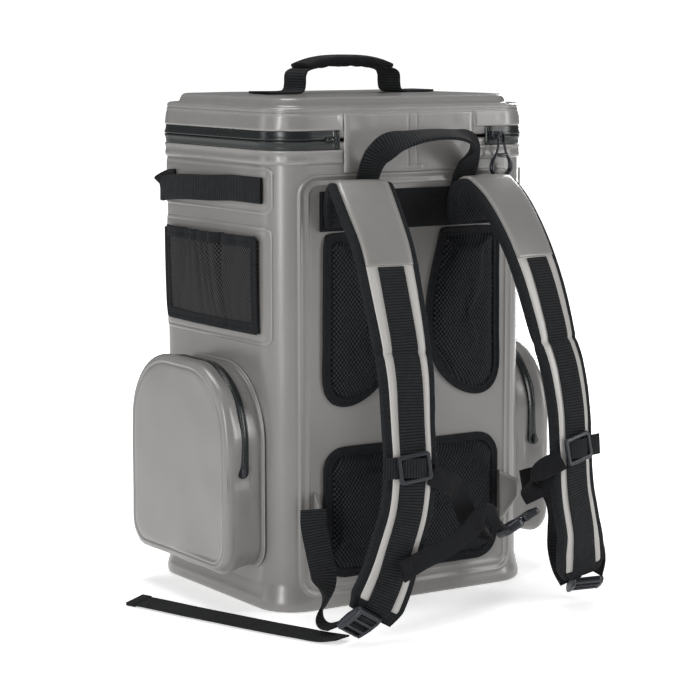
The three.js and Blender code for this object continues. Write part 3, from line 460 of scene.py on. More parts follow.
hinge_out += 0.6 * slow_noise(grid_x, grid_z, 0.018, 4.0) * bead(np.abs(grid_x) - 60 * MM, 22 * MM)
hinge_points = np.stack([grid_x, BACK - (0.4 + np.maximum(hinge_out, 0)) * MM, grid_z], axis=2).reshape(-1,
                                                                                                        3)
rim_points = hinge_points.copy()
rim_points[:, 1] = BACK + 0.3 * MM
make_piece("hinge_panel", np.concatenate([hinge_points, rim_points]),
           closed_sheet(len(hinge_x), len(hinge_z)), case_fabric, "coated_fabric", replaces=["lid_hinge"])

# Zipper frame
# A strip of thick coated fabric welded round the joint of lid and tub, with rolled edges and a slot
# for the zipper. It stops square at both ends of the hinge.
FRAME_ENDS = 76 * MM
ZIP_LEFT = 83 * MM
ZIP_RIGHT = 93 * MM


def strip_runs(left, right, fine):
    """Places along a strip that runs round the case from left to right past the front."""
    whole = 2 * HALF_ROUND
    return ticks(
        (left, whole - right, 4 * MM), (left, left + fine, 0.6 * MM),
        (whole - right - fine, whole - right, 0.6 * MM),
        (112 * MM, 169 * MM, 2.2 * MM), (338 * MM, 396 * MM, 2.2 * MM),
        (whole - 169 * MM, whole - 112 * MM, 2.2 * MM), (whole - 396 * MM, whole - 338 * MM, 2.2 * MM))


def around(run, out, height):
    """Points round the case for places that may run past the front's middle."""
    run = np.where(run > HALF_ROUND, run - 2 * HALF_ROUND, run)
    x, y, nx, ny = wall(run, out)
    return np.stack([x, y, np.broadcast_to(height, x.shape)], axis=-1)


def strip_piece(name, runs, profile, material, slot, replaces=(), relief=None):
    """Sweeps a profile of (out, height) in millimetres round the case, with its ends drawn in."""
    rings = []
    middle = sum(height for _, height in profile) / len(profile)
    for out, height in profile:
        near = np.minimum(runs - runs[0], runs[-1] - runs)
        ease = np.sqrt(np.clip(near / (2.2 * MM), 0, 1))
        lifted = np.full_like(runs, out * MM) * (0.12 + 0.88 * ease)
        if relief is not None and out > 0.3:
            lifted = lifted + relief(runs, np.full_like(runs, height * MM)) * ease
        shrunk = middle + (height - middle) * (0.93 + 0.07 * ease)
        rings.append(around(runs, lifted, shrunk * MM))
    points = np.stack(rings, axis=0)
    faces = grid_faces(len(runs), len(profile), loop_rows=True)
    size = len(runs)
    faces.append([j * size for j in range(len(profile))])
    faces.append([j * size + size - 1 for j in range(len(profile))][::-1])
    return make_piece(name, points.reshape(-1, 3), faces, material, slot, replaces=replaces)


def frame_relief(run, z):
    """Waves and weld dents of the strip, in metres."""
    wave = slow_noise(run, z, 0.03, 11.0)
    pinch = np.maximum(0, slow_noise(run, z, 0.012, 5.0) - 0.25)
    return (0.55 * wave - 1.1 * pinch) * MM


low_strip = [(-0.4, 428.4), (0.4, 428.2), (1.3, 428.6), (2.0, 429.6), (2.35, 431), (2.3, 432.6),
             (1.9, 434.2), (1.7, 436), (1.9, 438), (2.3, 439.6), (2.5, 440.6), (2.3, 441.5), (1.2, 441.9),
             (-0.4, 441.8)]
high_strip = [(-0.4, 460.0), (1.0, 460.0), (1.9, 460.4), (2.2, 461.2), (2.1, 462.4), (1.9, 464), (1.7, 466),
              (1.45, 468), (1.2, 470), (0.9, 472), (0.5, 474), (0.1, 475.5), (-0.4, 475.6)]
frame_runs = strip_runs(FRAME_ENDS, FRAME_ENDS, 8 * MM)
strip_piece("zipper_frame_low", frame_runs, low_strip, case_fabric, "coated_fabric",
            replaces=["zipper_frame"], relief=frame_relief)
strip_piece("zipper_frame_high", frame_runs, high_strip, case_fabric, "coated_fabric",
            relief=frame_relief)

# Lid zipper
# A waterproof zipper: two rubber coated tapes whose lips meet over the teeth, with a moulded end
# block, a stop, and a slider with its pull at the other end.


def moulded_material(name, colour, roughness, bump_strength):
    """Rubber or plastic: an even colour with a fine mould texture and a painted highlight on its convex
    edges.
    """
    material = bpy.data.materials.new(name)
    material.use_nodes = True
    tree = material.node_tree
    shader = tree.nodes["Principled BSDF"]
    grain = use_group(tree, "coated grain", Grain=2600.0, Cloud=40.0)
    highlight = use_group(tree, "edge highlight", Reach=0.08)
    dust = use_group(tree, "dust", Amount=0.04)
    lit = tuple(min(1, 1.8 * c + 0.01) for c in colour[:3]) + (1,)
    # Painted highlight: convex edges are painted towards a lit copy of the colour
    highlit = mix_colour(tree, math_node(tree, "MULTIPLY", highlight["Edge"], 0.3), colour, lit)
    tree.links.new(mix_colour(tree, dust["Dust"], highlit, (0.32, 0.31, 0.3, 1)), shader.inputs["Base Color"])
    rough = put(tree, "ShaderNodeMapRange", {
        "Value": grain["Tone"], "To Min": roughness - 0.07, "To Max": roughness + 0.07})
    tree.links.new(rough.outputs["Result"], shader.inputs["Roughness"])
    bump = put(tree, "ShaderNodeBump",
               {"Height": grain["Height"], "Strength": bump_strength, "Distance": 0.0002})
    tree.links.new(bump.outputs["Normal"], shader.inputs["Normal"])
    return material


zipper_rubber = moulded_material("zipper rubber", (0.009, 0.0112, 0.012, 1), 0.27, 0.05)
nylon = moulded_material("nylon", (0.013, 0.0155, 0.021, 1), 0.32, 0.08)

zip_profile = [(-0.3, 441.9), (0.7, 441.7), (1.2, 442.4), (1.3, 443.6), (1.45, 445.2), (1.75, 446.8),
               (2.3, 448.2), (2.75, 449.3), (2.7, 450.3), (1.7, 450.8), (0.3, 451)]
zip_profile += [(out, 902 - height) for out, height in zip_profile[:-1][::-1]]
strip_piece("zipper_tape", strip_runs(ZIP_LEFT, ZIP_RIGHT, 3 * MM), zip_profile, zipper_rubber,
            "zipper_rubber", replaces=["lid_zipper"])
end_profile = [(-0.3, 441.8), (1.4, 441.8), (2.2, 442.8), (2.5, 446), (2.6, 451), (2.5, 456), (2.2, 459.2),
               (1.4, 460.2), (-0.3, 460.2)]


def end_ridges(run, z):
    return 0.35 * MM * np.sin(run / (0.55 * MM))


strip_piece("zipper_end_block", ticks((80 * MM, 89 * MM, 0.3 * MM)), end_profile,
            zipper_rubber, "zipper_rubber", relief=end_ridges)
far_end = 2 * HALF_ROUND
strip_piece("zipper_far_block", ticks((far_end - 98 * MM, far_end - 89 * MM, 0.3 * MM)),
            end_profile, zipper_rubber, "zipper_rubber", relief=end_ridges)

# Zipper slider, pull and snap hook
# The slider sits at the right end of the zipper on a moulded block. Its pull carries a dark plated
# hook, bent from wire, with a thick oval ring at the bottom.


def spline(points, places, even=False):
    """Points of a curve through `points` at `places` from 0 to 1; centripetal, or `even` for directions."""
    points = np.asarray(points, float)
    padded = np.vstack([2 * points[0] - points[1], points, 2 * points[-1] - points[-2]])
    spans = len(points) - 1
    out = np.empty((len(places), points.shape[1]))
    for k, place in enumerate(places):
        i = min(int(place * spans), spans - 1)
        t = place * spans - i
        a, b, c, d = padded[i:i + 4]
        if even:
            start, end = (c - a) / 2, (d - b) / 2
        else:
            gaps = [max(np.linalg.norm(q - p), 1e-9) ** 0.5 for p, q in ((a, b), (b, c), (c, d))]
            start = gaps[1] * ((b - a) / gaps[0] - (c - a) / (gaps[0] + gaps[1]) + (c - b) / gaps[1])
            end = gaps[1] * ((c - b) / gaps[1] - (d - b) / (gaps[1] + gaps[2]) + (d - c) / gaps[2])
        out[k] = ((2 * t**3 - 3 * t**2 + 1) * b + (t**3 - 2 * t**2 + t) * start
                  + (-2 * t**3 + 3 * t**2) * c + (t**3 - t**2) * end)
    return out


def unit(vectors):
    return vectors / np.maximum(np.linalg.norm(vectors, axis=-1, keepdims=True), 1e-9)


def route_of(rows, width, thickness, step=2 * MM, first=0.0, last=1.0):
    """Frames along a strap. A row is place, side direction and, if given, width and thickness shares."""
    rows = np.array([list(row) + [1, 1][len(row) - 6:] if len(row) < 8 else list(row) for row in rows],
                    float)
    dense = np.linspace(first, last, 400)
    curve = spline(rows[:, :3], dense)
    run = np.concatenate([[0], np.cumsum(np.linalg.norm(np.diff(curve, axis=0), axis=1))])
    count = max(6, int(run[-1] / step))
    places = np.interp(np.linspace(0, run[-1], count + 1), run, dense)
    centre = spline(rows[:, :3], places)
    along = unit(np.gradient(centre, axis=0))
    side = spline(rows[:, 3:6], places, even=True)
    side = unit(side - along * np.sum(side * along, axis=1, keepdims=True))
    position = places * (len(rows) - 1)
    return {
        "centre": centre, "along": along, "side": side, "face": np.cross(along, side),
        "width": width * np.interp(position, range(len(rows)), rows[:, 6]),
        "thickness": thickness * np.interp(position, range(len(rows)), rows[:, 7]),
        "run": np.linspace(0, run[-1], count + 1), "place": places,
    }


# Cross sections as (across, through) shares of half the width and half the thickness
WEB_SECTION = [(-1, 0), (-0.985, 0.7), (-0.95, 1), (-0.5, 1), (0, 1), (0.5, 1), (0.95, 1), (0.985, 0.7),
               (1, 0), (0.985, -0.7), (0.95, -1), (0.5, -1), (0, -1), (-0.5, -1), (-0.95, -1),
               (-0.985, -0.7)]


def oval_section(count, square):
    """A rounded outline; `square` near 1 is an ellipse and near 0 a box."""
    angles = np.linspace(0, 2 * math.pi, count, endpoint=False)
    c, s = np.cos(angles), np.sin(angles)
    return np.stack([np.sign(c) * np.abs(c) ** square, np.sign(s) * np.abs(s) ** square], axis=1)


def sweep(name, path, section, material, slot, replaces=(), lift=0.0, shift=0.0, loop=False, crown=0.0):
    """Skins a section along a route. lift moves it along the face and shift along the side."""
    section = np.asarray(section, float)
    lift = np.broadcast_to(lift, path["run"].shape)
    shift = np.broadcast_to(shift, path["run"].shape)
    across = section[None, :, 0] * path["width"][:, None] / 2
    through = section[None, :, 1] * path["thickness"][:, None] / 2
    through = through + crown * (1 - section[None, :, 0] ** 2) * np.sign(section[None, :, 1] + 1e-6).clip(0,
                                                                                                          1)
    points = (path["centre"][:, None] + path["side"][:, None] * (across + shift[:, None])[..., None]
              + path["face"][:, None] * (through + lift[:, None])[..., None])
    uv = np.stack([across, np.broadcast_to(path["run"][:, None], across.shape)], axis=2).reshape(-1, 2)
    size = len(section)
    faces = grid_faces(size, len(points), loop_columns=True, loop_rows=loop)
    if not loop:
        faces.append(list(range(size))[::-1])
        faces.append(list(range((len(points) - 1) * size, len(points) * size)))
    return make_piece(name, points.reshape(-1, 3), faces, material, slot, uv=uv, replaces=replaces)


def part_of(path, first, last):
    """The frames of a route between two of its places."""
    keep = (path["place"] >= first) & (path["place"] <= last)
    return {key: value[keep] for key, value in path.items()}


def tube(name, points, radii, material, slot, closed=False, replaces=(), count=12, step=1.2 * MM):
    """A round bar along a curve; radii has one value for each point."""
    points = np.asarray(points, float)
    radii = np.asarray(radii, float)
    if closed:
        points, radii = np.vstack([points, points[:1]]), np.append(radii, radii[0])
    middle = points.mean(axis=0)
    towards = unit(points - middle)
    rows = [list(p) + list(t) + [r, r] for p, t, r in zip(points, towards, radii)]
    path = route_of(rows, 2.0, 2.0, step=step)
    if closed:
        path = {key: value[:-1] for key, value in path.items()}
    return sweep(name, path, oval_section(count, 1.0), material, slot, replaces=replaces, loop=closed)


plated = bpy.data.materials.new("plated metal")
plated.use_nodes = True
plated_shader = plated.node_tree.nodes["Principled BSDF"]
plated_shader.inputs["Metallic"].default_value = 1.0
plated_highlight = use_group(plated.node_tree, "edge highlight", Reach=0.08)
plated_grain = use_group(plated.node_tree, "coated grain", Grain=900.0, Cloud=200.0)
# Painted highlight: the plating is painted lighter on its convex edges
plated.node_tree.links.new(
    mix_colour(plated.node_tree, plated_highlight["Edge"], (0.022, 0.023, 0.026, 1), (0.1, 0.103, 0.11, 1)),
    plated_shader.inputs["Base Color"])
plated_rough = put(plated.node_tree, "ShaderNodeMapRange",
                   {"Value": plated_grain["Tone"], "To Min": 0.2, "To Max": 0.4})
plated.node_tree.links.new(plated_rough.outputs["Result"], plated_shader.inputs["Roughness"])


def on_back(across, up, out):
    """A point of the back, in millimetres, `out` from its wall."""
    return (across * MM, BACK - out * MM, up * MM)


tube("zipper_stop", [on_back(-88, 451.6, 2.2), on_back(-92, 451.6, 2.6), on_back(-97, 451.6, 2.4)],
     [2.6 * MM, 3.2 * MM, 2.6 * MM], zipper_rubber, "zipper_rubber", count=16)
tube("zipper_slider", [on_back(94, 451, 3), on_back(95, 451, 3.6), on_back(101, 451, 3.9),
                       on_back(106, 451, 3.6), on_back(107, 451, 3)],
     [2.2 * MM, 4.2 * MM, 4.6 * MM, 4.2 * MM, 2.2 * MM], nylon, "nylon", replaces=["zipper_pull"], count=20)
tube("zipper_bail", [on_back(98.5, 453, 6.5), on_back(98.5, 450, 9), on_back(99.5, 445, 10),
                     on_back(103.5, 445, 10), on_back(104.5, 450, 9), on_back(104.5, 453, 6.5)],
     [1.1 * MM] * 6, plated, "plated_metal")
HOOK_ROWS = [(0, 0, 0.62), (0.26, 0.07, 0.62), (0.32, 0.3, 0.62), (0.55, 0.5, 0.66), (0.9, 0.66, 1.05),
             (0.98, 0.82, 1.3), (0.62, 0.95, 1.4), (0, 1, 1.45), (-0.62, 0.95, 1.4), (-0.98, 0.82, 1.3),
             (-0.9, 0.66, 1.05), (-0.55, 0.5, 0.66), (-0.32, 0.3, 0.62), (-0.26, 0.07, 0.62)]
tube("hook_wire", [on_back(101 + a * 11.5, 455 - d * 44, 11.8) for a, d, _ in HOOK_ROWS],
     [t * 2 * MM for _, _, t in HOOK_ROWS], plated, "plated_metal", closed=True, replaces=["snap_hook"],
     count=14)
tube("hook_collar", [on_back(94, 433, 11.8), on_back(101, 432, 12.4), on_back(108, 433, 11.8)],
     [1.5 * MM, 1.9 * MM, 1.5 * MM], plated, "plated_metal")

# Top handle
# Heavy webbing sewn flat to the lid at both ends. Over the span it is folded round a soft core and
# sewn underneath, which leaves the lower edge ruffled.
rib_tree, rib_in, rib_out = new_group("rib weave", [("Rib", 0.0022), ("Thread", 0.0009)], ["Height", "Tone"])
rib_place = put(rib_tree, "ShaderNodeTexCoord", {})
rib_axes = put(rib_tree, "ShaderNodeSeparateXYZ", {0: rib_place.outputs["UV"]})
rib_turn = math_node(rib_tree, "DIVIDE", math_node(rib_tree, "MULTIPLY", rib_axes.outputs["Y"], math.pi),
                     rib_in["Rib"])
rib_wave = math_node(rib_tree, "ABSOLUTE", math_node(rib_tree, "SINE", rib_turn))
thread_turn = math_node(
    rib_tree, "DIVIDE", math_node(rib_tree, "MULTIPLY", rib_axes.outputs["X"], math.pi), rib_in["Thread"])
thread_wave = math_node(rib_tree, "ABSOLUTE", math_node(rib_tree, "SINE", thread_turn))
rib_mixed = math_node(rib_tree, "MULTIPLY", rib_wave, math_node(rib_tree, "ADD", 0.65, math_node(
    rib_tree, "MULTIPLY", thread_wave, 0.35)))
fuzz = put(rib_tree, "ShaderNodeTexNoise",
           {"Vector": rib_place.outputs["Object"], "Scale": 160.0, "Detail": 4.0})
rib_tree.links.new(rib_mixed, rib_out["Height"])
rib_tree.links.new(fuzz.outputs[0], rib_out["Tone"])


def woven_material(name, rib, thread, dark, lit, bump_strength):
    """Woven or knitted tape: ribs across it, finer threads along it, a dull sheen, and painted light on the
    ribs' crests with painted shade between them.
    """
    material = bpy.data.materials.new(name)
    material.use_nodes = True
    tree = material.node_tree
    shader = tree.nodes["Principled BSDF"]
    weave = use_group(tree, "rib weave", Rib=rib, Thread=thread)
    dust = use_group(tree, "dust", Amount=0.03)
    # Painted light and shade: the ribs' crests are painted towards the lit colour and the grooves towards the
    # dark one, with a random fuzz of tone
    share = math_node(tree, "MULTIPLY", weave["Height"], math_node(tree, "ADD", 0.45, weave["Tone"]))
    colour = mix_colour(tree, share, dark, lit)
    tree.links.new(mix_colour(tree, dust["Dust"], colour, (0.2, 0.19, 0.185, 1)),
                   shader.inputs["Base Color"])
    shader.inputs["Roughness"].default_value = 0.75
    shader.inputs["Specular IOR Level"].default_value = 0.15
    shader.inputs["Sheen Weight"].default_value = 0.02
    shader.inputs["Sheen Roughness"].default_value = 0.45
    bump = put(tree, "ShaderNodeBump",
               {"Height": weave["Height"], "Strength": bump_strength, "Distance": 0.0005})
    tree.links.new(bump.outputs["Normal"], shader.inputs["Normal"])
    return material


webbing = woven_material("webbing", 0.0027, 0.0013, (0.0015, 0.0017, 0.002, 1), (0.024, 0.0255, 0.028, 1),
                         1.0)
fine_webbing = woven_material("fine webbing", 0.0016, 0.0012, (0.0015, 0.0016, 0.002, 1),
                              (0.013, 0.0138, 0.016, 1), 0.7)
binding = woven_material("binding", 0.0019, 0.0016, (0.002, 0.0023, 0.0028, 1), (0.02, 0.0215, 0.0245, 1),
                         0.9)

LID_TOP = 491.3
TOP_HALF = [(-1.04, 0.02), (-1, 0.1), (-0.98, 0.3), (-0.97, 0.62), (-0.92, 0.76), (-0.75, 0.86),
            (-0.4, 0.97)]
TOP_SPAN, TOP_RISE, TOP_TAB = 114, 27.5, 38
top_left = [(-1.04 - TOP_TAB / (TOP_SPAN / 2), 0.0), (-1.08, 0.0)] + TOP_HALF
top_right = [(-a, u) for a, u in top_left][::-1]
top_rows = [((a * TOP_SPAN / 2 + 0.8) * MM, 0, (LID_TOP + 1.5 + u * TOP_RISE) * MM, 0, 1, 0)
            for a, u in top_left + [(0, 1)] + top_right]
top_path = route_of(top_rows, 40 * MM, 2.4 * MM, step=1.6 * MM)
in_span = np.abs(top_path["centre"][:, 0] - 0.8 * MM) < 50 * MM
in_span &= top_path["centre"][:, 2] > (LID_TOP + 14) * MM
top_path["width"] = np.where(in_span, 30 * MM, 40 * MM)
top_path["width"] = np.convolve(np.pad(top_path["width"], 3, mode="edge"), np.ones(7) / 7, mode="valid")
sweep("top_handle", top_path, WEB_SECTION, webbing, "webbing", replaces=["top_handle_webbing"])
reach = np.abs(top_path["centre"][:, 0] - 0.8 * MM) / (52.5 * MM)
grip = {key: value[in_span & (reach < 1)] for key, value in top_path.items()}
reach = reach[in_span & (reach < 1)]
grip["width"] = np.full_like(reach, 33 * MM)
grip["thickness"] = 11.5 * MM * (1 - 0.62 * reach**4)
grip_section = oval_section(40, 0.62)
grip_rings = []
for k, (across, through) in enumerate(grip_section):
    ruffle = 0.0
    if through < 0.2:
        ruffle = slow_noise(grip["run"], grip["run"] * 0 + across * 0.01, 0.009, 6.0)
        ruffle = 1.1 * MM * ruffle * (0.2 - through)
    grip_rings.append(
        grip["centre"] + grip["side"] * (across * grip["width"] / 2)[:, None]
        + grip["face"] * (through * grip["thickness"] / 2 + 3.4 * MM + ruffle)[:, None])
grip_points = np.stack(grip_rings, axis=1)
grip_uv = np.stack([np.broadcast_to(grip_section[:, 0] * 0.02, grip_points.shape[:2]),
                    np.broadcast_to(grip["run"][:, None], grip_points.shape[:2])], axis=2)
grip_faces = grid_faces(40, len(grip_points), loop_columns=True)
grip_faces += [list(range(40))[::-1], list(range((len(grip_points) - 1) * 40, len(grip_points) * 40))]
top_grip = make_piece("top_handle_padding", grip_points.reshape(-1, 3), grip_faces, fine_webbing, "webbing",
                      uv=grip_uv.reshape(-1, 2), replaces=["top_handle_grip"])

# Side handles
# Each is webbing sewn to a welded patch of coated fabric: flat at its near end under a box of
# stitches, and standing off the wall before it folds back at its far end.


def stitches(name, rows, thread, material, slot, length=2.4 * MM, pitch=3.4 * MM):
    """Rows of thread. Each row is (points, outward direction), and a stitch is a small lozenge."""
    points, faces = [], []
    for line, outward in rows:
        line = np.asarray(line, float)
        outward = np.asarray(outward, float)
        steps = np.linalg.norm(np.diff(line, axis=0), axis=1)
        run = np.concatenate([[0], np.cumsum(steps)])
        for middle in np.arange(pitch / 2, run[-1], pitch):
            ends = [np.array([np.interp(middle + d, run, line[:, k]) for k in range(3)])
                    for d in (-length / 2, 0, length / 2)]
            ahead = unit(ends[2] - ends[0])
            beside = unit(np.cross(ahead, outward))
            first = len(points)
            points += [ends[0], ends[2], ends[1] + beside * thread, ends[1] - beside * thread,
                       ends[1] + outward * thread, ends[1] - outward * thread]
            faces += [tuple(first + i for i in f) for f in (
                (0, 2, 4), (0, 4, 3), (0, 3, 5), (0, 5, 2), (1, 4, 2), (1, 3, 4), (1, 5, 3), (1, 2, 5))]
    return make_piece(name, points, faces, material, slot)


def mirrored(obj, name, replaces=()):
    """The same piece on the other side of the bag."""
    mesh = obj.data.copy()
    mesh.transform(((-1, 0, 0, 0), (0, 1, 0, 0), (0, 0, 1, 0), (0, 0, 0, 1)))
    mesh.flip_normals()
    other = bpy.data.objects.new(name, mesh)
    bpy.context.collection.objects.link(other)
    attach(other, "root")
    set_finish(other, obj["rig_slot"])
    if replaces:
        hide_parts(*replaces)
    return other


def on_side(along, up, out):
    """A point of the left wall, in millimetres; along grows towards the harness."""
    return (SIDE - out * MM, -along * MM, up * MM)


def patch_piece(name, reach_mm, low, high, relief, replaces):
    """A thin welded sheet on the left wall that follows the case round its corners."""
    middle_run = (WIDTH / 2 - CORNER) + CORNER * math.pi / 2 + (DEPTH / 2 - CORNER)
    reach_run = reach_mm * MM + 1.8 * MM
    shares = ticks((-1, 1, 0.03), (0.93, 1, 0.006), (-1, -0.93, 0.006))
    heights = ticks((-1, 1, 0.07), (0.9, 1, 0.012), (-1, -0.9, 0.012))
    u, v = np.meshgrid(shares, heights)
    half_z = (high - low) / 2 * MM
    round_corner = 10 * MM
    qx = np.abs(u) * reach_run - (reach_run - round_corner)
    qz = np.abs(v) * half_z - (half_z - round_corner)
    over = np.hypot(np.maximum(qx, 0), np.maximum(qz, 0))
    pull = np.where((qx > 0) & (qz > 0) & (over > round_corner), round_corner / np.maximum(over, 1e-9), 1)
    place_u = np.sign(u) * np.where(pull < 1, (reach_run - round_corner) + np.maximum(qx, 0) * pull,
                                    np.abs(u) * reach_run)
    place_v = np.sign(v) * np.where(pull < 1, (half_z - round_corner) + np.maximum(qz, 0) * pull,
                                    np.abs(v) * half_z)
    edge = rounded_distance(place_u, place_v, reach_run, -half_z, half_z, round_corner)
    out = 0.35 * MM + 0.75 * MM * np.tanh(-edge / (0.9 * MM)) + relief(place_u, place_v, edge)
    z = place_v + (high + low) / 2 * MM
    x, y, nx, ny = wall(middle_run - place_u, out)
    front = np.stack([x, y, z], axis=2).reshape(-1, 3)
    x, y, nx, ny = wall(middle_run - place_u, np.full_like(out, -0.6 * MM))
    back = np.stack([x, y, z], axis=2).reshape(-1, 3)
    return make_piece(name, np.concatenate([front, back]), closed_sheet(len(shares), len(heights)),
                      case_fabric,
                      "coated_fabric", replaces=replaces)


def handle_patch_relief(u, v, edge):
    return (-0.4 * bead(edge + 4 * MM, 1.1 * MM) + 0.3 * slow_noise(u, v, 0.03, 8.0)) * MM


patch = patch_piece("handle_backing_left", 103, 381, 427, handle_patch_relief, ["handle_patch_left"])
mirrored(patch, "handle_backing_right", ["handle_patch_right"])

HANDLE_ROWS = [(1, 0, 0), (0.55, 0.01, 0), (0.42, 0.12, 0), (0.1, 0.65, 0.06), (-0.3, 1, 0.1),
               (-0.7, 0.85, 0.2), (-0.93, 0.62, 0.3), (-0.985, 0.42, 0.28), (-0.97, 0.14, 0.15),
               (-0.9, 0.05, 0.05), (-0.76, 0.03, 0)]
handle_rows = [on_side(a * 95, 404 - d * 25, 2.9 + o * 10.5) + (0, 0, 1) for a, o, d in HANDLE_ROWS]
handle_path = route_of(handle_rows, 25 * MM, 2.6 * MM, step=1.6 * MM)
handle = sweep("side_handle_web_left", handle_path, WEB_SECTION, webbing, "webbing",
               replaces=["side_handle_left"])
mirrored(handle, "side_handle_web_right", ["side_handle_right"])
thread_dark = woven_material("dark thread", 0.0008, 0.0008, (0.02, 0.021, 0.023, 1), (0.07, 0.072, 0.078, 1),
                             0.3)
thread_grey = woven_material("grey thread", 0.0008, 0.0008, (0.3, 0.29, 0.28, 1), (0.5, 0.49, 0.47, 1), 0.3)
OUT_SIDE = (-1, 0, 0)
box = [(91, 414), (91, 394), (66, 394), (66, 414), (91, 414)]
cross = [[(91, 414), (66, 394)], [(91, 394), (66, 414)]]
sewn = [([on_side(a, u, 4.5) for a, u in line], OUT_SIDE) for line in [box] + cross]
handle_stitches = stitches("handle_stitches_left", sewn, 0.35 * MM, thread_dark, "webbing")
mirrored(handle_stitches, "handle_stitches_right")

# Mesh pockets
# A panel of knitted net, gathered a little, bound with tape on all four edges and sewn at three of
# them to a welded patch. The top edge stands open.


def mesh_patch_relief(u, v, edge):
    return (-0.4 * bead(edge + 4 * MM, 1.1 * MM) + 0.2 * slow_noise(u, v, 0.03, 12.0)) * MM


patch = patch_piece("mesh_backing_left", 102, 256, 370, mesh_patch_relief, ["mesh_patch_left"])
mirrored(patch, "mesh_backing_right", ["mesh_patch_right"])

net_tree, net_in, net_out = new_group("open mesh", [("Across", 0.0032), ("Along", 0.004)],
                                      ["Height", "Hole"])
net_place = put(net_tree, "ShaderNodeTexCoord", {})
net_axes = put(net_tree, "ShaderNodeSeparateXYZ", {0: net_place.outputs["UV"]})
net_u = math_node(net_tree, "DIVIDE", net_axes.outputs["X"], net_in["Across"])
net_v = math_node(net_tree, "DIVIDE", net_axes.outputs["Y"], net_in["Along"])
rising = math_node(net_tree, "COSINE",
                   math_node(net_tree, "MULTIPLY", math_node(net_tree, "ADD", net_u, net_v), math.pi))
falling = math_node(
    net_tree, "COSINE",
    math_node(net_tree, "MULTIPLY", math_node(net_tree, "SUBTRACT", net_u, net_v), math.pi))
opening = math_node(net_tree, "ABSOLUTE", math_node(net_tree, "MULTIPLY", rising, falling))
hole = put(net_tree, "ShaderNodeMapRange", {"Value": opening, "From Min": 0.16, "From Max": 0.32})
net_tree.links.new(math_node(net_tree, "SUBTRACT", 1.0, opening), net_out["Height"])
net_tree.links.new(hole.outputs["Result"], net_out["Hole"])


def mesh_material(name, across, along, thread, deep, bump_strength):
    """Open mesh: pale threads round holes painted dark, as the shade seen through them."""
    material = bpy.data.materials.new(name)
    material.use_nodes = True
    tree = material.node_tree
    shader = tree.nodes["Principled BSDF"]
    net = use_group(tree, "open mesh", Across=across, Along=along)
    dust = use_group(tree, "dust", Amount=0.02)
    # Painted shade: the holes are painted near black, the shade seen through them
    colour = mix_colour(tree, net["Hole"], thread, deep)
    tree.links.new(mix_colour(tree, dust["Dust"], colour, (0.15, 0.145, 0.14, 1)),
                   shader.inputs["Base Color"])
    shader.inputs["Roughness"].default_value = 0.6
    shader.inputs["Specular IOR Level"].default_value = 0.15
    bump = put(tree, "ShaderNodeBump",
               {"Height": net["Height"], "Strength": bump_strength, "Distance": 0.0009})
    tree.links.new(bump.outputs["Normal"], shader.inputs["Normal"])
    return material


netting = mesh_material("netting", 0.0026, 0.0042, (0.07, 0.071, 0.069, 1), (0.004, 0.0042, 0.0044, 1), 0.8)
spacer = mesh_material("spacer mesh", 0.0036, 0.005, (0.034, 0.037, 0.045, 1), (0.0002, 0.0007, 0.0008, 1),
                       1.0)

# Each fold is [along, width, depth]
NET_FOLDS = [(0.2, 0.035, 0.55), (0.3, 0.02, 0.18), (0.4, 0.025, 0.35), (0.5, 0.02, 0.25), (0.57, 0.02, 0.3),
             (0.7, 0.028, 0.75), (0.8, 0.03, 0.3), (0.9, 0.02, 0.2)]


def net_out_at(u, v):
    """How far the net stands off its patch; u runs along the wall and v up."""
    crown = np.sin(np.pi * u).clip(0) ** 0.6 * np.sin(np.pi / 2 * v) ** 0.5
    lean = u + 0.05 * np.sin(2.4 * v + 9 * u)
    folds = sum(deep * np.exp(-(((lean - at) / wide) ** 2)) for at, wide, deep in NET_FOLDS)
    return 11 * MM * crown * (1 - folds * (0.35 + 0.65 * v))


def side_sheet(name, u, v, out, thickness, material, slot, replaces=()):
    """A closed sheet on the left wall; u and v are places in metres along and up."""
    front = np.stack([SIDE - out, -u, v], axis=2)
    back = np.stack([SIDE - out + thickness, -u, v], axis=2)
    uv = np.stack([u, v], axis=2).reshape(-1, 2)
    return make_piece(name, np.concatenate([front.reshape(-1, 3), back.reshape(-1, 3)]),
                      closed_sheet(u.shape[1], u.shape[0]), material, slot, uv=np.concatenate([uv, uv]),
                      replaces=replaces)


share_u, share_v = np.meshgrid(np.linspace(0, 1, 121), np.linspace(0, 1, 51))
net_along = (share_u - 0.5) * 175 * MM
net_up = (269 + share_v * 87) * MM
net = side_sheet("net_left", net_along, net_up, 2.6 * MM + net_out_at(share_u, share_v), 0.7 * MM, netting,
                 "netting",
                 ["mesh_pocket_left"])
net_right = mirrored(net, "net_right", ["mesh_pocket_right"])


def net_edge(points_uv):
    """Rows of a binding tape that lies on the net along a line of (u, v) shares."""
    rows = []
    for (u0, v0) in points_uv:
        out = 2.7 * MM + net_out_at(np.array(u0), np.array(v0))
        rows.append((float(SIDE - out - 0.3 * MM), -(u0 - 0.5) * 179 * MM, (268 + v0 * 90) * MM))
    return rows


def tape_piece(name, centres, sides, width, thickness, material, slot, step=1.8 * MM):
    rows = [list(c) + list(s) for c, s in zip(centres, sides)]
    return sweep(name, route_of(rows, width, thickness, step=step), TAPE_SECTION, material, slot)


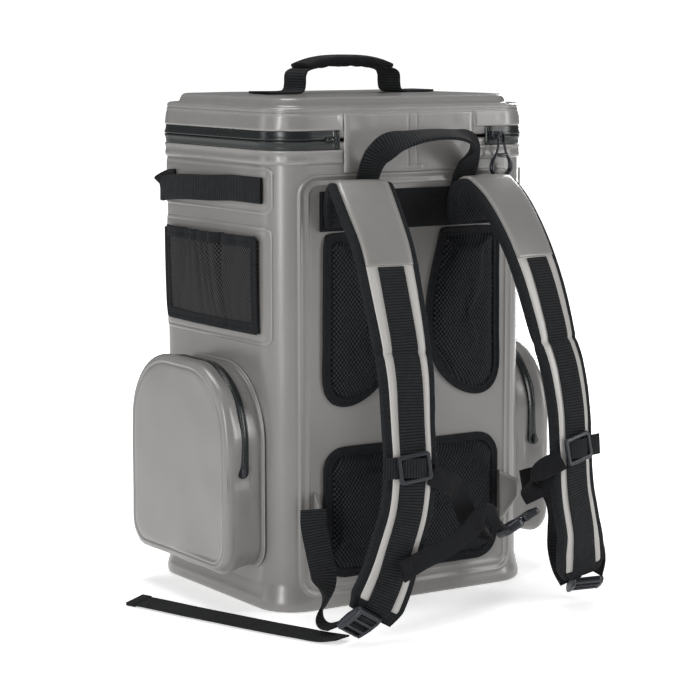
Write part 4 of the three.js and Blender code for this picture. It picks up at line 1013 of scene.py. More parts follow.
# A bound edge: tape with two raised ridges and a stitched valley between them
TAPE_SECTION = [(-1, -0.6), (-1, 0.3), (-0.9, 0.85), (-0.7, 1), (-0.4, 0.95), (-0.15, 0.55), (0, 0.5),
                (0.15, 0.55), (0.4, 0.95), (0.7, 1), (0.9, 0.85), (1, 0.3), (1, -0.6), (0.5, -0.7),
                (0, -0.7), (-0.5, -0.7)]
steps = np.linspace(0.02, 0.98, 25)
edges = {
    "top": ([(u, 0.965) for u in steps], (0, 0, 1)),
    "bottom": ([(u, 0.045) for u in steps], (0, 0, 1)),
    "near": ([(0.972, v) for v in np.linspace(0, 1, 9)], (0, 1, 0)),
    "far": ([(0.028, v) for v in np.linspace(0, 1, 9)], (0, 1, 0)),
}
for edge_name, (line, across) in edges.items():
    centres = net_edge(line)
    tape = tape_piece(f"net_binding_{edge_name}_left", centres, [across] * len(centres), 11 * MM, 2.4 * MM,
                      binding,
                      "webbing")
    mirrored(tape, f"net_binding_{edge_name}_right")

# Zip pockets
# A moulded shell of coated fabric with a soft edge, a seam pressed into its face and a flange welded
# to the wall. A curved waterproof zipper runs over its top.


def filleted(corners, steps):
    """Points of an outline whose corners are rounded. Each corner is (x, y, radius)."""
    points = []
    for i, (x, y, radius) in enumerate(corners):
        corner = np.array([x, y], float)
        before = unit(np.array(corners[i - 1][:2], float) - corner)
        after = unit(np.array(corners[(i + 1) % len(corners)][:2], float) - corner)
        half = math.acos(np.clip(before @ after, -1, 1)) / 2
        centre = corner + unit(before + after) * radius / math.sin(half)
        start = corner + before * radius / math.tan(half) - centre
        end = corner + after * radius / math.tan(half) - centre
        turn = math.atan2(start[0] * end[1] - start[1] * end[0], start @ end)
        for s in range(steps + 1):
            c, n = math.cos(turn * s / steps), math.sin(turn * s / steps)
            points.append(centre + np.array([start[0] * c - start[1] * n, start[0] * n + start[1] * c]))
    return np.array(points)


def even_outline(points, spacing):
    """The same closed outline with its points evenly spaced."""
    closed = np.vstack([points, points[:1]])
    run = np.concatenate([[0], np.cumsum(np.linalg.norm(np.diff(closed, axis=0), axis=1))])
    places = np.linspace(0, run[-1], int(run[-1] / spacing) + 1)[:-1]
    return np.stack([np.interp(places, run, closed[:, k]) for k in (0, 1)], axis=1)


def shrunk(outline, inset, scale=1.0):
    """Draws an outline in by a distance, and then to a scale, about the middle of its box."""
    low, high = outline.min(axis=0), outline.max(axis=0)
    middle, size = (low + high) / 2, high - low
    return middle + (outline - middle) * (1 - 2 * inset / size) * scale


# Scales of the rings that fill the middle of a face
INNER_RINGS = (0.88, 0.75, 0.6, 0.45, 0.3, 0.15, 0.04)


# The pocket's outline on the wall in millimetres, and its section as (inset, out)
POCKET = even_outline(filleted([(-98, 37, 24), (98, 37, 24), (98, 238, 74), (-98, 238, 74)], 16), 2.0)
pocket_section = [(8.5, 0.4), (2.2, 0.4), (1.7, 1.0), (2.0, 1.9), (3.0, 2.2), (3.6, 1.7), (4.2, 1.4),
                  (4.6, 1.9), (5.2, 2.6), (5.4, 3.6), (4.9, 5.0)]
pocket_section += smooth_rows([(4.9, 6), (4.5, 12), (4, 17), (2.3, 25), (0.6, 32), (0, 36), (0.4, 39),
                               (1.5, 41.4),
                               (3.2, 43), (5.2, 43.7)], 4)[1:].tolist()
pocket_section += [(6.2, 43.9), (7.0, 43.75), (7.6, 43.25), (8.2, 43.0), (8.8, 43.25), (9.5, 43.85),
                   (11, 44.2),
                   (14, 44.35), (19, 44.45), (26, 44.5)]
pocket_section = [(inset, out, 1.0) for inset, out in pocket_section]
pocket_section += [(26, 44.5 + 0.6 * (1 - scale), scale) for scale in INNER_RINGS]
pocket_rings = []
for inset, out, scale in pocket_section:
    ring = shrunk(POCKET, inset, scale)
    outs = np.full(len(ring), float(out))
    if out > 5:
        outs = outs + 0.9 * slow_noise(ring[:, 0], ring[:, 1], 38, 3.0) * min(1, (out - 5) / 30)
        outs = outs - 2.2 * bead(np.hypot(ring[:, 0] - 60, ring[:, 1] - 60), 42) * (out > 43.9)
    swell = np.zeros(len(ring))
    if 5 < out < 42:
        swell = 0.8 * slow_noise(ring[:, 0], ring[:, 1] + out, 30, 5.0)
        near = bead(np.abs(ring[:, 1] - 131.5), 9) * (out > 15)
        swell = swell - 1.1 * near
    ring = ring * (1 + swell[:, None] / 110) - np.array([0, 137.5]) * swell[:, None] / 110
    pocket_rings.append(np.stack([SIDE - outs * MM, -ring[:, 0] * MM, ring[:, 1] * MM], axis=1))
size = len(POCKET)
pocket_faces = grid_faces(size, len(pocket_rings), loop_columns=True)
pocket_faces += [list(range(size))[::-1],
                 list(range((len(pocket_rings) - 1) * size, len(pocket_rings) * size))]
pocket = make_piece("pocket_shell_left", np.concatenate(pocket_rings), pocket_faces, case_fabric,
                    "coated_fabric",
                    replaces=["zip_pocket_left"])
mirrored(pocket, "pocket_shell_right", ["zip_pocket_right"])

arch = filleted([(-94.6, 60, 1), (94.6, 60, 1), (94.6, 234.6, 70.6), (-94.6, 234.6, 70.6)], 30)
arch = arch[arch[:, 1] > 132]
arch = np.vstack([[98 - 3.4, 131.5], arch, [-98 + 3.4, 131.5]])
arch_rows = []
for k, (along, up) in enumerate(arch):
    ahead = arch[min(k + 1, len(arch) - 1)] - arch[max(k - 1, 0)]
    outward = unit(np.array([ahead[1], -ahead[0]]))
    arch_rows.append([SIDE - 24.8 * MM, -(along + 0.9 * outward[0]) * MM, (up + 0.9 * outward[1]) * MM,
                      -1, 0, 0])
arch_path = route_of(arch_rows, 13 * MM, 2 * MM, step=1.5 * MM)
end_ease = np.minimum(arch_path["run"], arch_path["run"][-1] - arch_path["run"])
end_share = np.clip(end_ease / (6 * MM), 0.03, 1)
arch_path["width"] = arch_path["width"] * np.sqrt(end_share * (2 - end_share))
POCKET_ZIP = [(-1, -0.8), (-1, 0.2), (-0.93, 0.55), (-0.8, 0.45), (-0.5, 0.4), (-0.28, 0.55), (-0.14, 1.0),
              (-0.06, 1.05), (0, 0.25), (0.06, 1.05), (0.14, 1.0), (0.28, 0.55), (0.5, 0.4), (0.8, 0.45),
              (0.93, 0.55), (1, 0.2), (1, -0.8), (0, -0.8)]
away = np.sign(np.sum(arch_path["face"] * (arch_path["centre"] - np.array([SIDE, 0, 0.12])), axis=1).mean())
arch_section = [(a, t * away) for a, t in POCKET_ZIP]
pocket_zip = sweep("pocket_zipper_tape_left", arch_path, arch_section, zipper_rubber, "zipper_rubber",
                   replaces=["pocket_zipper_left"])
mirrored(pocket_zip, "pocket_zipper_tape_right", ["pocket_zipper_right"])
teeth = {key: value.copy() for key, value in arch_path.items()}
teeth["width"] = np.full_like(teeth["width"], 1.5 * MM)
teeth["thickness"] = np.full_like(teeth["width"], 1.2 * MM)
# The teeth are painted much lighter than the rubber tape: a painted shine along the zipper's middle, and they
# are glossier too
teeth_shine = moulded_material("zipper teeth", (0.06, 0.065, 0.07, 1), 0.2, 0.02)
pocket_teeth = sweep("pocket_zipper_teeth_left", teeth, oval_section(8, 1.0), teeth_shine, "zipper_rubber",
                     lift=0.35 * MM * away)
mirrored(pocket_teeth, "pocket_zipper_teeth_right")
puller = tube("pocket_puller_left",
              [(SIDE - 24.8 * MM, -95.6 * MM, 142 * MM), (SIDE - 24.8 * MM, -97 * MM, 138 * MM),
               (SIDE - 24.8 * MM, -96.6 * MM, 133 * MM)],
              [1.6 * MM, 2.6 * MM, 1.8 * MM], nylon, "nylon", count=14)
mirrored(puller, "pocket_puller_right")

# Yoke and haul loop
# Wide webbing sewn across the back carries the shoulder straps. Above it stands a loop of doubled
# webbing that leans out and twists at its crest.
yoke_rows = [on_back(a, 384, 2.0) + (0, 0, 1) for a in (-103, -60, -20, 20, 60, 103)]
sweep("yoke_web", route_of(yoke_rows, 38 * MM, 3 * MM, step=2 * MM), WEB_SECTION, fine_webbing, "webbing",
      replaces=["yoke_webbing"])
yoke_lines = [([on_back(-101, up, 3.6), on_back(101, up, 3.6)], (0, -1, 0))
              for up in (368.5, 371, 397, 399.5)]
stitches("yoke_stitches", yoke_lines, 0.3 * MM, thread_dark, "webbing", length=2.2 * MM, pitch=3 * MM)

HAUL_HALF = [(-1, 0, 0, -1, 0, 0), (-1, 0.06, 0.15, -1, 0, 0), (-1.01, 0.2, 0.36, -1, 0.05, 0),
             (-0.98, 0.42, 0.62, -0.9, 0.35, 0.15), (-0.82, 0.7, 0.84, -0.55, 0.8, 0.35),
             (-0.45, 0.93, 0.96, -0.2, 0.96, 0.3), (0, 1, 1, 0, 0.96, 0.27)]
haul_all = HAUL_HALF + [(-a, o, u, -sa, so, su) for a, o, u, sa, so, su in HAUL_HALF[-2::-1]]
haul_rows = [on_back(4 + a * 56, 402.4 + u * 53.5, 2 + o * 42) + (sa, so, su)
             for a, o, u, sa, so, su in haul_all]
haul_path = route_of(haul_rows, 25 * MM, 1.5 * MM, step=1.5 * MM)
sweep("haul_loop_outer", haul_path, WEB_SECTION, webbing, "webbing", replaces=["haul_loop"],
      lift=0.85 * MM)
sweep("haul_loop_inner", haul_path, WEB_SECTION, webbing, "webbing", lift=-0.85 * MM)
haul_feet = []
for foot in (-52, 60):
    rows = [on_back(foot, 366, 4.6) + (1, 0, 0), on_back(foot, 385, 4.6) + (1, 0, 0),
            on_back(foot, 401.5, 4.4) + (1, 0, 0)]
    haul_feet.append(sweep(f"haul_loop_foot_{'left' if foot < 0 else 'right'}",
                           route_of(rows, 25 * MM, 1.6 * MM),
                           WEB_SECTION, webbing, "webbing"))

# Back pads
# Foam pads under open spacer mesh, dark and deep, bound round their edge with knitted tape that is
# sewn down to the back panel.


def swell(piece, sewn, pressure, most):
    """Blows a padded piece up as cloth that is held where `sewn` is true, by no more than `most`."""
    start = np.empty(len(piece.data.vertices) * 3, np.float32)
    piece.data.vertices.foreach_get("co", start)
    start = start.reshape(-1, 3)
    held = piece.vertex_groups.new(name="sewn")
    held.add([int(i) for i in np.flatnonzero(sewn)], 1.0, "REPLACE")
    cloth = piece.modifiers.new("swell", "CLOTH")
    cloth.settings.vertex_group_mass = "sewn"
    cloth.settings.use_pressure = True
    cloth.settings.uniform_pressure_force = pressure
    cloth.settings.effector_weights.gravity = 0
    cloth.settings.shrink_min = -0.02
    cloth.settings.quality = 4
    cloth.point_cache.frame_end = 20
    for moment in range(1, 21):
        bpy.context.scene.frame_set(moment)
    evaluated = piece.evaluated_get(bpy.context.evaluated_depsgraph_get())
    moved = np.empty(start.size, np.float32)
    evaluated.data.vertices.foreach_get("co", moved)
    change = moved.reshape(-1, 3) - start
    length = np.linalg.norm(change, axis=1, keepdims=True)
    change = change * np.minimum(1, most / np.maximum(length, 1e-9))
    piece.modifiers.remove(cloth)
    piece.data.vertices.foreach_set("co", (start + change).ravel())
    piece.data.update()
    bpy.context.scene.frame_set(1)


def pad_piece(name, outline, thickness, replaces):
    """A pad on the back: a flat bound edge, then a crowned cushion."""
    outline = even_outline(outline, 2.2)
    profile = [(0.4, 0), (0.4, 1.2), (7.5, 2.0), (8.2, 2.9)]
    profile += smooth_rows([(8.2, 2.9), (8.9, 4.6), (10.6, 6.6), (13.5, 8.4), (18, 9.9), (25, 10.9),
                            (34, 11.4),
                            (44, 11.6)], 3)[1:].tolist()
    low, high = outline.min(axis=0), outline.max(axis=0)
    widest = min(high - low) / 2 - 14
    profile = [(inset, out, 1.0) for inset, out in profile if inset < widest]
    inset, out = profile[-1][:2]
    profile += [(inset, out + 0.6 * (1 - scale), scale) for scale in INNER_RINGS]
    rings = []
    for inset, out, scale in profile:
        ring = shrunk(outline, inset, scale)
        height = 0.4 + out * thickness / 11.6
        dent = 0.35 * slow_noise(ring[:, 0], ring[:, 1], 22, 2.0) if out > 5 else np.zeros(len(ring))
        rings.append(np.stack([ring[:, 0] * MM, BACK - (height + dent) * MM, ring[:, 1] * MM], axis=1))
    size = len(outline)
    faces = grid_faces(size, len(rings), loop_columns=True)
    faces += [list(range(size))[::-1], list(range((len(rings) - 1) * size, len(rings) * size))]
    points = np.concatenate(rings)
    uv = points[:, [0, 2]]
    pad = make_piece(name, points, faces, spacer, "spacer_mesh", uv=uv, replaces=replaces)
    swell(pad, points[:, 1] > BACK - 3.6 * MM, 4.0, 1.6 * MM)
    edge = shrunk(outline, 4.2)
    rows = []
    for k in range(0, len(edge), 2):
        ahead = unit(edge[(k + 1) % len(edge)] - edge[k - 1])
        rows.append([edge[k, 0] * MM, BACK - 2.6 * MM, edge[k, 1] * MM, ahead[1], 0, -ahead[0]])
    rows.append(rows[0])
    path = route_of(rows, 8.6 * MM, 3.4 * MM, step=1.8 * MM)
    path = {key: value[:-1] for key, value in path.items()}
    outward = np.sign(path["face"][:, 1].mean())
    section = [(a, -t * outward) for a, t in TAPE_SECTION]
    sweep(f"{name}_binding", path, section, binding, "webbing", loop=True)
    return pad


# The right pad's outer edge, seen from behind the bag, in millimetres
UPPER_PAD = [(36, 362), (31, 343), (24.5, 320), (20, 298.6), (18.3, 277), (18.4, 261.5), (21.5, 245.5),
             (28.3, 231), (38.4, 217.6), (55.4, 204.2), (75.6, 196.5), (91.5, 197.2), (101, 204.5),
             (106, 217), (106, 260), (105.6, 315), (104.5, 357), (102, 362), (90, 363.4), (70, 363.6),
             (50, 363.4), (39, 363)]
for hand, sign, nodes in (("left", -1, ["pad_upper_left"]), ("right", 1, ["pad_upper_right"])):
    closed = np.array(UPPER_PAD + UPPER_PAD[:1]) - (3, 0)
    outline = spline(closed, np.linspace(0, 1, 240)[:-1]) * (sign, 1) + (3, 0)
    pad_piece(f"back_pad_{hand}", outline[::-1] if sign < 0 else outline, 11, nodes)
lower_outline = filleted([(-99.5, 29, 22), (105.5, 29, 22), (105.5, 157, 22), (-99.5, 157, 22)], 12)
pad_piece("back_pad_lower", lower_outline[::-1], 12, ["pad_lower"])

# Shoulder straps
# Foam under coated fabric in front and spacer mesh behind, bound along both edges with knitted tape.
# The upper part is a plain cap, and below its hem a webbing runs down the middle.
STRAP_ROWS = [
    (0.48, -0.0105, 0.907, 0.9, 0.7, 0, 0), (0.48, 0.003, 0.955, 0.96, 0.85, 0, 0),
    (0.483, 0.046, 0.986, 1, 1, 2, 0), (0.493, 0.115, 1, 1, 1, 5, 0), (0.513, 0.195, 0.984, 1, 1, 8, 0),
    (0.532, 0.301, 0.949, 0.98, 1, 9, 0), (0.547, 0.468, 0.878, 0.94, 1, 9, 0),
    (0.56, 0.56, 0.824, 0.925, 0.94, 9, 0), (0.572, 0.634, 0.77, 0.91, 1, 9, 0),
    (0.582, 0.735, 0.684, 0.87, 1, 9, 0), (0.587, 0.778, 0.646, 0.85, 0.8, 9, 0),
    (0.603, 0.843, 0.587, 0.83, 1, 8.5, 0), (0.622, 0.898, 0.491, 0.8, 1, 8, 0),
    (0.625, 0.922, 0.394, 0.785, 1, 8, 0), (0.648, 0.918, 0.296, 0.785, 1, 8, 0)]
STRAP_ENDS = {
    "left": [(0.715, 0.89, 0.201, 0.8, 1, 8, -0.06), (0.76, 0.868, 0.14, 0.84, 1, 8, -0.14),
             (0.82, 0.855, 0.09, 0.86, 1, 8, -0.24), (0.868, 0.84, 0.058, 0.7, 0.8, 8, -0.3)],
    "right": [(0.737, 0.868, 0.197, 0.8, 1, 9, 0), (0.785, 0.82, 0.147, 0.84, 1, 6, 0.04),
              (0.832, 0.77, 0.1, 0.8, 1, 0, 0.08), (0.858, 0.735, 0.072, 0.6, 0.8, -4, 0.1)]}
STRAP_WIDTH, STRAP_THICK, STRAP_REACH, STRAP_TOP = 65, 10, 140, 407
CAP_END = 13.9 / 36


def narrowed(path, trim, thickness):
    """The route with its width cut by `trim` on each side and another thickness."""
    changed = dict(path)
    changed["width"] = path["width"] - 2 * trim
    changed["thickness"] = np.full_like(path["width"], thickness)
    return changed


strap_paths = {}
facing_fabric = coated_material("facing fabric", (0.5, 0.485, 0.465, 1), (0.44, 0.425, 0.405, 1), 0.4, 0.3)
for hand, sign in (("left", -1), ("right", 1)):
    rows = []
    for across, out, up, wide, thick, turn, roll in STRAP_ROWS + STRAP_ENDS[hand]:
        angle = math.radians(turn)
        rows.append((sign * across * WIDTH / 2, BACK - (8.6 + out * STRAP_REACH) * MM, up * STRAP_TOP * MM,
                     math.cos(angle), sign * math.sin(angle), -sign * roll, wide, thick))
    path = route_of(rows, STRAP_WIDTH * MM, STRAP_THICK * MM, step=1.8 * MM)
    strap_paths[hand] = path
    place = path["place"]
    pinch = bead(place - 10.1 / 18, 0.007)
    puffy = dict(path)
    puffy["thickness"] = path["thickness"] * (1 - 0.35 * pinch)
    core = sweep(f"strap_padding_{hand}",
                 narrowed(puffy, 1.2 * MM, 0) | {"thickness": puffy["thickness"] * 0.92},
                 oval_section(36, 0.42), spacer, "spacer_mesh", replaces=[f"shoulder_strap_{hand}"])
    top = puffy["thickness"] / 2
    facing_section = [(a, t) for t, line in ((1, np.linspace(-1, 1, 17)), (-1, np.linspace(1, -1, 17)))
                      for a in line]
    soft = 0.35 * MM * slow_noise(path["run"], path["run"] * 0 + sign, 0.02, 1.0)
    facing_path = narrowed(puffy, 6.5 * MM, 0.9 * MM)
    sweep(f"strap_facing_{hand}", part_of(facing_path, 0.1, 0.96), facing_section, facing_fabric,
          "coated_fabric", lift=part_of({"place": place, "l": top - 0.2 * MM + soft}, 0.1, 0.96)["l"],
          crown=1.0 * MM)
    cap = part_of(narrowed(puffy, 6.5 * MM, 1.5 * MM), 2.2 / 18, CAP_END)
    cap_lift = part_of({"place": place, "l": top + 0.9 * MM + soft}, 2.2 / 18, CAP_END)["l"]
    sweep(f"strap_cap_sheet_{hand}", cap, facing_section, case_fabric, "coated_fabric", lift=cap_lift,
          replaces=[f"strap_cap_{hand}"], crown=1.1 * MM)
    hem = []
    for back_from_end in (2.2, 4.6):
        k = len(cap["run"]) - 1 - int(back_from_end / 1.8)
        line = [cap["centre"][k] + cap["side"][k] * s * (cap["width"][k] / 2 - 2 * MM)
                + cap["face"][k] * (cap_lift[k] + 0.75 * MM + 1.1 * MM * (1 - s * s))
                for s in np.linspace(-1, 1, 15)]
        hem.append((line, cap["face"][k]))
    stitches(f"strap_hem_stitches_{hand}", hem, 0.28 * MM, thread_grey, "coated_fabric", length=1.9 * MM,
             pitch=2.6 * MM)
    for edge_name, edge_sign in (("inner", -sign), ("outer", sign)):
        edge_path = dict(path)
        edge_path["width"] = np.full_like(path["width"], 9.0 * MM)
        edge_path["thickness"] = puffy["thickness"] * 0.86 + 0.8 * MM
        wavy = 0.5 * MM * slow_noise(path["run"], path["run"] * 0 + edge_sign, 0.025, 4.0)
        offset = edge_sign * (path["width"] / 2 - 4.3 * MM + wavy)
        sweep(f"strap_binding_{edge_name}_{hand}", edge_path, oval_section(24, 0.55), binding, "webbing",
              shift=offset)
    web = part_of(narrowed(path, 0, 2 * MM) | {"width": np.full_like(path["width"], 26 * MM)}, CAP_END,
                  0.985)
    web_lift = part_of({"place": place, "l": top + 1.9 * MM}, CAP_END, 0.985)["l"]
    sweep(f"strap_web_{hand}", web, WEB_SECTION, webbing, "webbing", replaces=[f"strap_webbing_{hand}"],
          lift=web_lift)
    end_cover = part_of(narrowed(puffy, 5 * MM, 1.6 * MM), 0.95, 0.995)
    end_lift = part_of({"place": place, "l": top + 0.7 * MM}, 0.95, 0.995)["l"]
    sweep(f"strap_end_cover_{hand}", end_cover, facing_section, binding, "webbing", lift=end_lift,
          crown=0.9 * MM)
    sewn_end = []
    for down, over in (((0, 0), (-1, 1)), ((1, 1), (-1, 1)), ((0, 1), (-1, 1)), ((0, 1), (1, -1)),
                       ((0, 1), (-1, -1)),
                       ((0, 1), (1, 1))):
        line = []
        for t in np.linspace(0, 1, 7):
            k = len(web["run"]) - 2 - int(round((down[0] + (down[1] - down[0]) * t) * 18 / 1.8))
            line.append(web["centre"][k] + web["side"][k] * (over[0] + (over[1] - over[0]) * t) * 10 * MM
                        + web["face"][k] * (web_lift[k] + 1.1 * MM))
        sewn_end.append((line, web["face"][-6]))
    stitches(f"strap_end_stitches_{hand}", sewn_end, 0.3 * MM, thread_dark, "webbing")

# Sternum strap
# A slider on each shoulder strap holds a short webbing band and the chest strap, which is closed by a
# side release buckle and whose long free end hangs to the left.


def plate(name, width, length, thickness, radius, windows, centre, across, along, bevel, replaces=(),
          bend=0.0):
    """A moulded plate with windows and rounded edges; bend bows it along its length."""
    curve = bpy.data.curves.new(name, "CURVE")
    curve.dimensions = "2D"
    curve.fill_mode = "BOTH"
    curve.extrude = (thickness / 2 - bevel) * MM
    curve.bevel_depth = bevel * MM
    curve.bevel_resolution = 3
    shapes = [(-width / 2 + bevel, width / 2 - bevel, -length / 2 + bevel, length / 2 - bevel, radius)]
    shapes += [(l - bevel, r + bevel, b - bevel, t + bevel, 1.2 + bevel) for l, r, b, t in windows]
    for left, right, bottom, top_side, round_by in shapes:
        outline = filleted([(left, bottom, round_by), (right, bottom, round_by), (right, top_side, round_by),
                            (left, top_side, round_by)], 6)
        outline = even_outline(outline, 0.9)
        line = curve.splines.new("POLY")
        line.points.add(len(outline) - 1)
        line.points.foreach_set("co", np.column_stack([outline * MM, np.zeros(len(outline)),
                                                       np.ones(len(outline))]).ravel())
        line.use_cyclic_u = True
    holder = bpy.data.objects.new(name, curve)
    mesh = bpy.data.meshes.new_from_object(holder)
    bpy.data.objects.remove(holder)
    bpy.data.curves.remove(curve)
    points = np.empty(len(mesh.vertices) * 3)
    mesh.vertices.foreach_get("co", points)
    points = points.reshape(-1, 3)
    faces = [tuple(p.vertices) for p in mesh.polygons]
    bpy.data.meshes.remove(mesh)
    points[:, 2] -= bend * MM * (points[:, 1] / (length / 2 * MM)) ** 2
    y = unit(np.asarray(along, float))
    x = np.asarray(across, float)
    x = unit(x - y * (x @ y))
    z = np.cross(x, y)
    placed = np.asarray(centre, float) + points[:, :1] * x + points[:, 1:2] * y + points[:, 2:3] * z
    obj = make_piece(name, placed, faces, nylon, "nylon", replaces=replaces)
    weld = obj.modifiers.new("weld", "WELD")
    weld.merge_threshold = 0.00002
    return obj


def free_rows(rows):
    """Rows of free webbing from shares of the case's half width, the strap's reach and its crest."""
    return [(a * WIDTH / 2, BACK - o * STRAP_REACH * MM, u * STRAP_TOP * MM, *side)
            for a, o, u, *side in rows]


for hand, sign in (("left", -1), ("right", 1)):
    path = strap_paths[hand]
    k = int(np.argmin(np.abs(path["place"] - 26 / 36)))
    face, side, along = path["face"][k], path["side"][k], path["along"][k]
    base = path["centre"][k] + face * (path["thickness"][k] / 2 + 2.9 * MM)
    tilt = math.radians(9)
    glide_side = side * math.cos(tilt) - along * math.sin(tilt)
    glide_along = along * math.cos(tilt) + side * math.sin(tilt)
    plate(f"glide_{hand}", 33, 27, 3.6, 3, [(-13, 13, -9.6, 9.6)], base + face * 2.6 * MM, glide_side,
          glide_along, 0.9,
          replaces=[f"tri_glide_{hand}"])
    band_rows = [list(base + side * sign * s * MM + face * (1.0 - 2.2 * (abs(s) > 30)) * MM) + list(along)
                 for s in (8, 14, 20, 25, 30)]
    sweep(f"glide_band_{hand}", route_of(band_rows, 20 * MM, 2 * MM, step=1.5 * MM), WEB_SECTION, webbing,
          "webbing",
          replaces=[f"sternum_band_{hand}"])
    wrap_rows = [list(base + side * s * MM + face * h * MM) + list(along)
                 for s, h in ((-13, 1.6), (-8, 3.6), (0, 4.6), (8, 3.6), (13, 1.6))]
    sweep(f"glide_wrap_{hand}", route_of(wrap_rows, 18 * MM, 1.6 * MM, step=1.5 * MM), WEB_SECTION, webbing,
          "webbing")

STERNUM_LEFT = [(-0.515, 1.06, 0.378, 0.25, 0, 0.96), (-0.37, 1.04, 0.35, 0.3, 0, 0.95),
                (-0.275, 0.985, 0.332, 0.6, -0.1, 0.8), (-0.205, 0.945, 0.298, 0.9, -0.2, 0.4),
                (-0.14, 0.915, 0.257, 0.8, -0.1, 0.6), (-0.06, 0.9, 0.228, 0.3, 0.3, 0.9),
                (0.045, 0.895, 0.208, -0.2, 0.8, 0.5)]
STERNUM_TAIL = [(0.1, 0.965, 0.234, -0.25, 0.75, 0.6), (0.02, 0.985, 0.252, 0.3, 0.3, 0.9),
                (-0.06, 1.01, 0.266, 0.6, 0, 0.8), (-0.13, 1.035, 0.258, 0.1, 0.3, 0.95),
                (-0.22, 1.045, 0.234, -0.3, 0, 0.95), (-0.37, 1.055, 0.208, -0.3, 0, 0.95),
                (-0.56, 1.065, 0.188, -0.15, 0, 0.98), (-0.74, 1.075, 0.165, -0.3, 0, 0.95)]
STERNUM_RIGHT = [(0.39, 0.925, 0.275, 0.8, -0.5, 0.2), (0.345, 0.93, 0.3, 0.85, -0.3, 0),
                 (0.34, 0.94, 0.325, 0.6, 0.5, 0.3), (0.4, 0.985, 0.35, 0.3, 0.2, 0.9),
                 (0.495, 1.07, 0.375, -0.3, 0, 0.94)]
for name, rows, node in (("sternum_web_left", STERNUM_LEFT, "sternum_strap_left"),
                         ("sternum_web_right", STERNUM_RIGHT, "sternum_strap_right"),
                         ("sternum_free_end", STERNUM_TAIL, "sternum_tail")):
    web_path = route_of(free_rows(rows), 20 * MM, 1.6 * MM, step=1.5 * MM)
    sweep(name, web_path, WEB_SECTION, fine_webbing, "webbing", replaces=[node])
    if name == "sternum_free_end":
        end = {key: value[-9:] for key, value in web_path.items()}
        end["thickness"] = end["thickness"] * 2.1
        end["width"] = end["width"] * 1.03
        sweep("sternum_end_hem", end, WEB_SECTION, fine_webbing, "webbing")

buckle_centre = np.array([0.247 * WIDTH / 2, BACK - 0.925 * STRAP_REACH * MM, 0.228 * STRAP_TOP * MM])
buckle_along = unit(np.array([0.91, 0, 0.41]))
buckle_across = (-0.537, -0.832, 0.136)
plate("buckle_socket_body", 27, 24, 9, 4.5, [], buckle_centre - buckle_along * 9.8 * MM, buckle_across,
      buckle_along,
      2.6, replaces=["buckle_socket"])
plate("buckle_plug_body", 24, 19.5, 6.6, 3, [(-9, 9, 2.5, 6.5)], buckle_centre + buckle_along * 12.2 * MM,
      buckle_across, buckle_along, 1.6, replaces=["buckle_plug"])

# Lower adjustment
# A gusset of coated fabric at each lower corner of the back holds webbing that runs through a ladder
# lock at the strap's end. The left one ends on the ground with a long free end.
for hand, sign in (("left", -1), ("right", 1)):
    gusset = [(0.735, 0, 0.285), (0.745, 0, 0.15), (0.8, 0.15, 0.225), (0.795, 0.15, 0.265)]
    corners = np.array([(sign * a * WIDTH / 2, BACK - 0.3 * MM - o * STRAP_REACH * MM, u * STRAP_TOP * MM)
                        for a, o, u in gusset])
    share_a, share_b = np.meshgrid(np.linspace(0, 1, 15), np.linspace(0, 1, 15))
    flat = ((1 - share_a)[..., None]
            * ((1 - share_b)[..., None] * corners[0] + share_b[..., None] * corners[1])
            + share_a[..., None] * ((1 - share_b)[..., None] * corners[3] + share_b[..., None] * corners[2]))
    bulge = 2.0 * MM * np.sin(np.pi * share_a) * np.sin(np.pi * share_b)
    near = flat + np.array([sign, 0, 0]) * (bulge[..., None] + 0.8 * MM)
    far = flat + np.array([sign, 0, 0]) * (bulge[..., None] - 0.8 * MM)
    make_piece(f"gusset_sheet_{hand}", np.concatenate([near.reshape(-1, 3), far.reshape(-1, 3)]),
               closed_sheet(15, 15),
               case_fabric, "coated_fabric", replaces=[f"gusset_{hand}"])

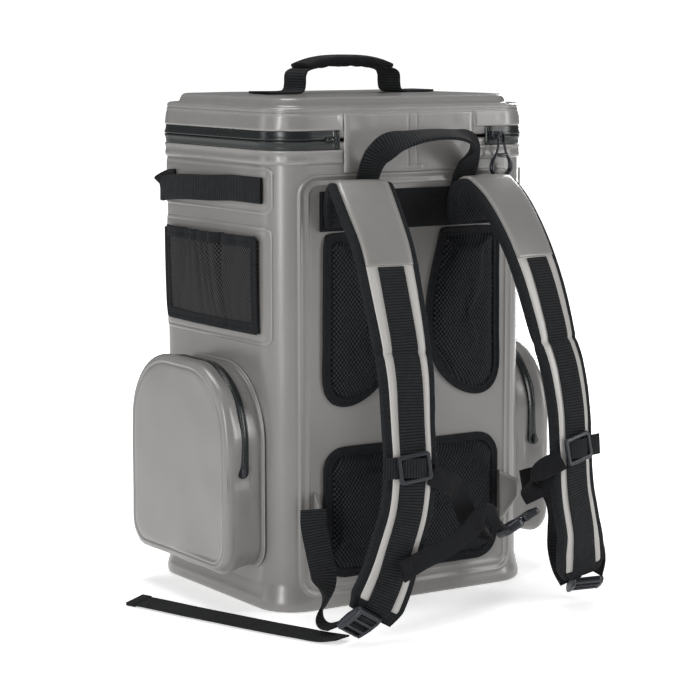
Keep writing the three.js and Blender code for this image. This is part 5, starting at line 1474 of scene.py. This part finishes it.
ADJUSTERS = {
    "adjuster_strap_left": [(-0.845, 0.17, 0.258, 0.75, -0.4, 0.5), (-0.865, 0.21, 0.225, 0.8, -0.45, 0.35),
                            (-0.87, 0.285, 0.165, 0.84, -0.5, 0.1), (-0.88, 0.36, 0.115, 0.84, -0.3, 0),
                            (-0.93, 0.44, 0.075, 0.6, 0.6, 0), (-1, 0.54, 0.048, 0.4, 0.85, 0),
                            (-1.02, 0.63, 0.03, 0.6, 0.75, 0.1), (-1, 0.72, 0.028, 0.85, 0.5, 0.1)],
    "adjuster_strap_right": [(0.815, 0.17, 0.258, 0.2, -0.1, 0.95), (0.84, 0.26, 0.27, 0.4, 0, 0.9),
                             (0.875, 0.36, 0.268, 0.7, 0.1, 0.7), (0.905, 0.44, 0.235, 0.85, 0, 0.4),
                             (0.905, 0.485, 0.195, 0.9, -0.1, 0.1), (0.885, 0.515, 0.155, 0.9, -0.2, 0),
                             (0.865, 0.55, 0.115, 0.9, -0.3, 0), (0.87, 0.6, 0.07, 0.9, -0.3, 0.1),
                             (0.885, 0.66, 0.04, 0.92, -0.3, 0)],
    "adjuster_tail_left": [(-1.03, 0.84, 0.013, 0.9, 0.35, -0.04), (-1.085, 0.72, 0.0082, 0.88, 0.45, 0.1),
                           (-1.165, 0.53, 0.0086, 0.86, 0.5, 0.12), (-1.27, 0.25, 0.0086, 0.88, 0.42, 0.12),
                           (-1.37, -0.05, 0.0086, 0.92, 0.35, 0.12), (-1.47, -0.35, 0.0086, 0.93, 0.3, 0.12),
                           (-1.57, -0.68, 0.0086, 0.85, 0.5, 0.12), (-1.63, -0.85, 0.0086, 0.7, 0.7, 0.12)],
    "adjuster_tail_right": [(1.02, 0.775, 0.06, 0.3, 0.9, 0), (1.04, 0.78, 0.1, 0.3, 0.95, 0),
                            (1.015, 0.77, 0.145, 0.2, 0.95, 0), (0.95, 0.74, 0.18, 0.1, 0.95, 0)],
}
for node, rows in ADJUSTERS.items():
    web_path = route_of(free_rows(rows), 25 * MM, 1.6 * MM, step=1.6 * MM)
    sweep(f"{node}_web", web_path, WEB_SECTION, webbing, "webbing", replaces=[node])
    if "tail" in node:
        end = {key: value[-8:] for key, value in web_path.items()}
        end["thickness"] = end["thickness"] * 2.1
        end["width"] = end["width"] * 1.03
        sweep(f"{node}_hem", end, WEB_SECTION, webbing, "webbing")

# A lock is a moulded frame with three bars, thicker at its sides. The webbing goes round its bars.
LOCKS = {"left": ((-0.965, 0.937, 0.037), (0.85, 0.15, -0.45), (-0.486, 0.6, -0.6)),
         "right": ((0.905, 0.79, 0.04), (0.93, -0.36, 0.05), (0.36, 0.8, -0.48))}
for hand, (at, across, along) in LOCKS.items():
    low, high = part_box(f"ladder_lock_{hand}")
    centre = np.array((low + high) / 2) + np.array([0, 0, 1.2 * MM])
    along = unit(np.array(along))
    across = unit(np.array(across) - along * (np.array(across) @ along))
    up = np.cross(across, along)
    plate(f"lock_{hand}", 32, 30, 5.5, 4,
          [(-12.6, 12.6, -11, -4.5), (-12.6, 12.6, -1.5, 5), (-12.6, 12.6, 8, 12)],
          centre, across, along, 1.3, replaces=[f"ladder_lock_{hand}"], bend=-1.5)
    for rail, place, wide, high_mm in (("near", -14.2, 5.0, 10.5), ("far", 14.4, 3.4, 8.0)):
        rail_rows = [list(centre + across * place * MM + along * s * MM + up * h * MM) + list(across) + [w, t]
                     for s, h, w, t in ((-14.5, 1.2, 0.7, 0.5), (-10, 1.2, 1, 0.9), (0, 1.0, 1.1, 1),
                                        (9, 0.6, 1, 0.8),
                                        (14, 0, 0.7, 0.5))]
        sweep(f"lock_rail_{rail}_{hand}", route_of(rail_rows, wide * MM, high_mm * MM, step=1.2 * MM),
              oval_section(20, 0.7), nylon, "nylon")
    looped = [(-15, 1.8), (-11, 0.6), (-7.6, -0.6), (-4, 0.8), (-2.2, 3.6), (0.4, 3.4), (2.6, 0.6),
              (5, -0.2),
              (7, 2.8), (10, 2.6), (13.5, 0.4)]
    loop_rows = [list(centre + along * s * MM + up * h * MM) + list(across) for s, h in looped]
    sweep(f"lock_web_{hand}", route_of(loop_rows, 24.4 * MM, 1.5 * MM, step=1 * MM), WEB_SECTION, webbing,
          "webbing")
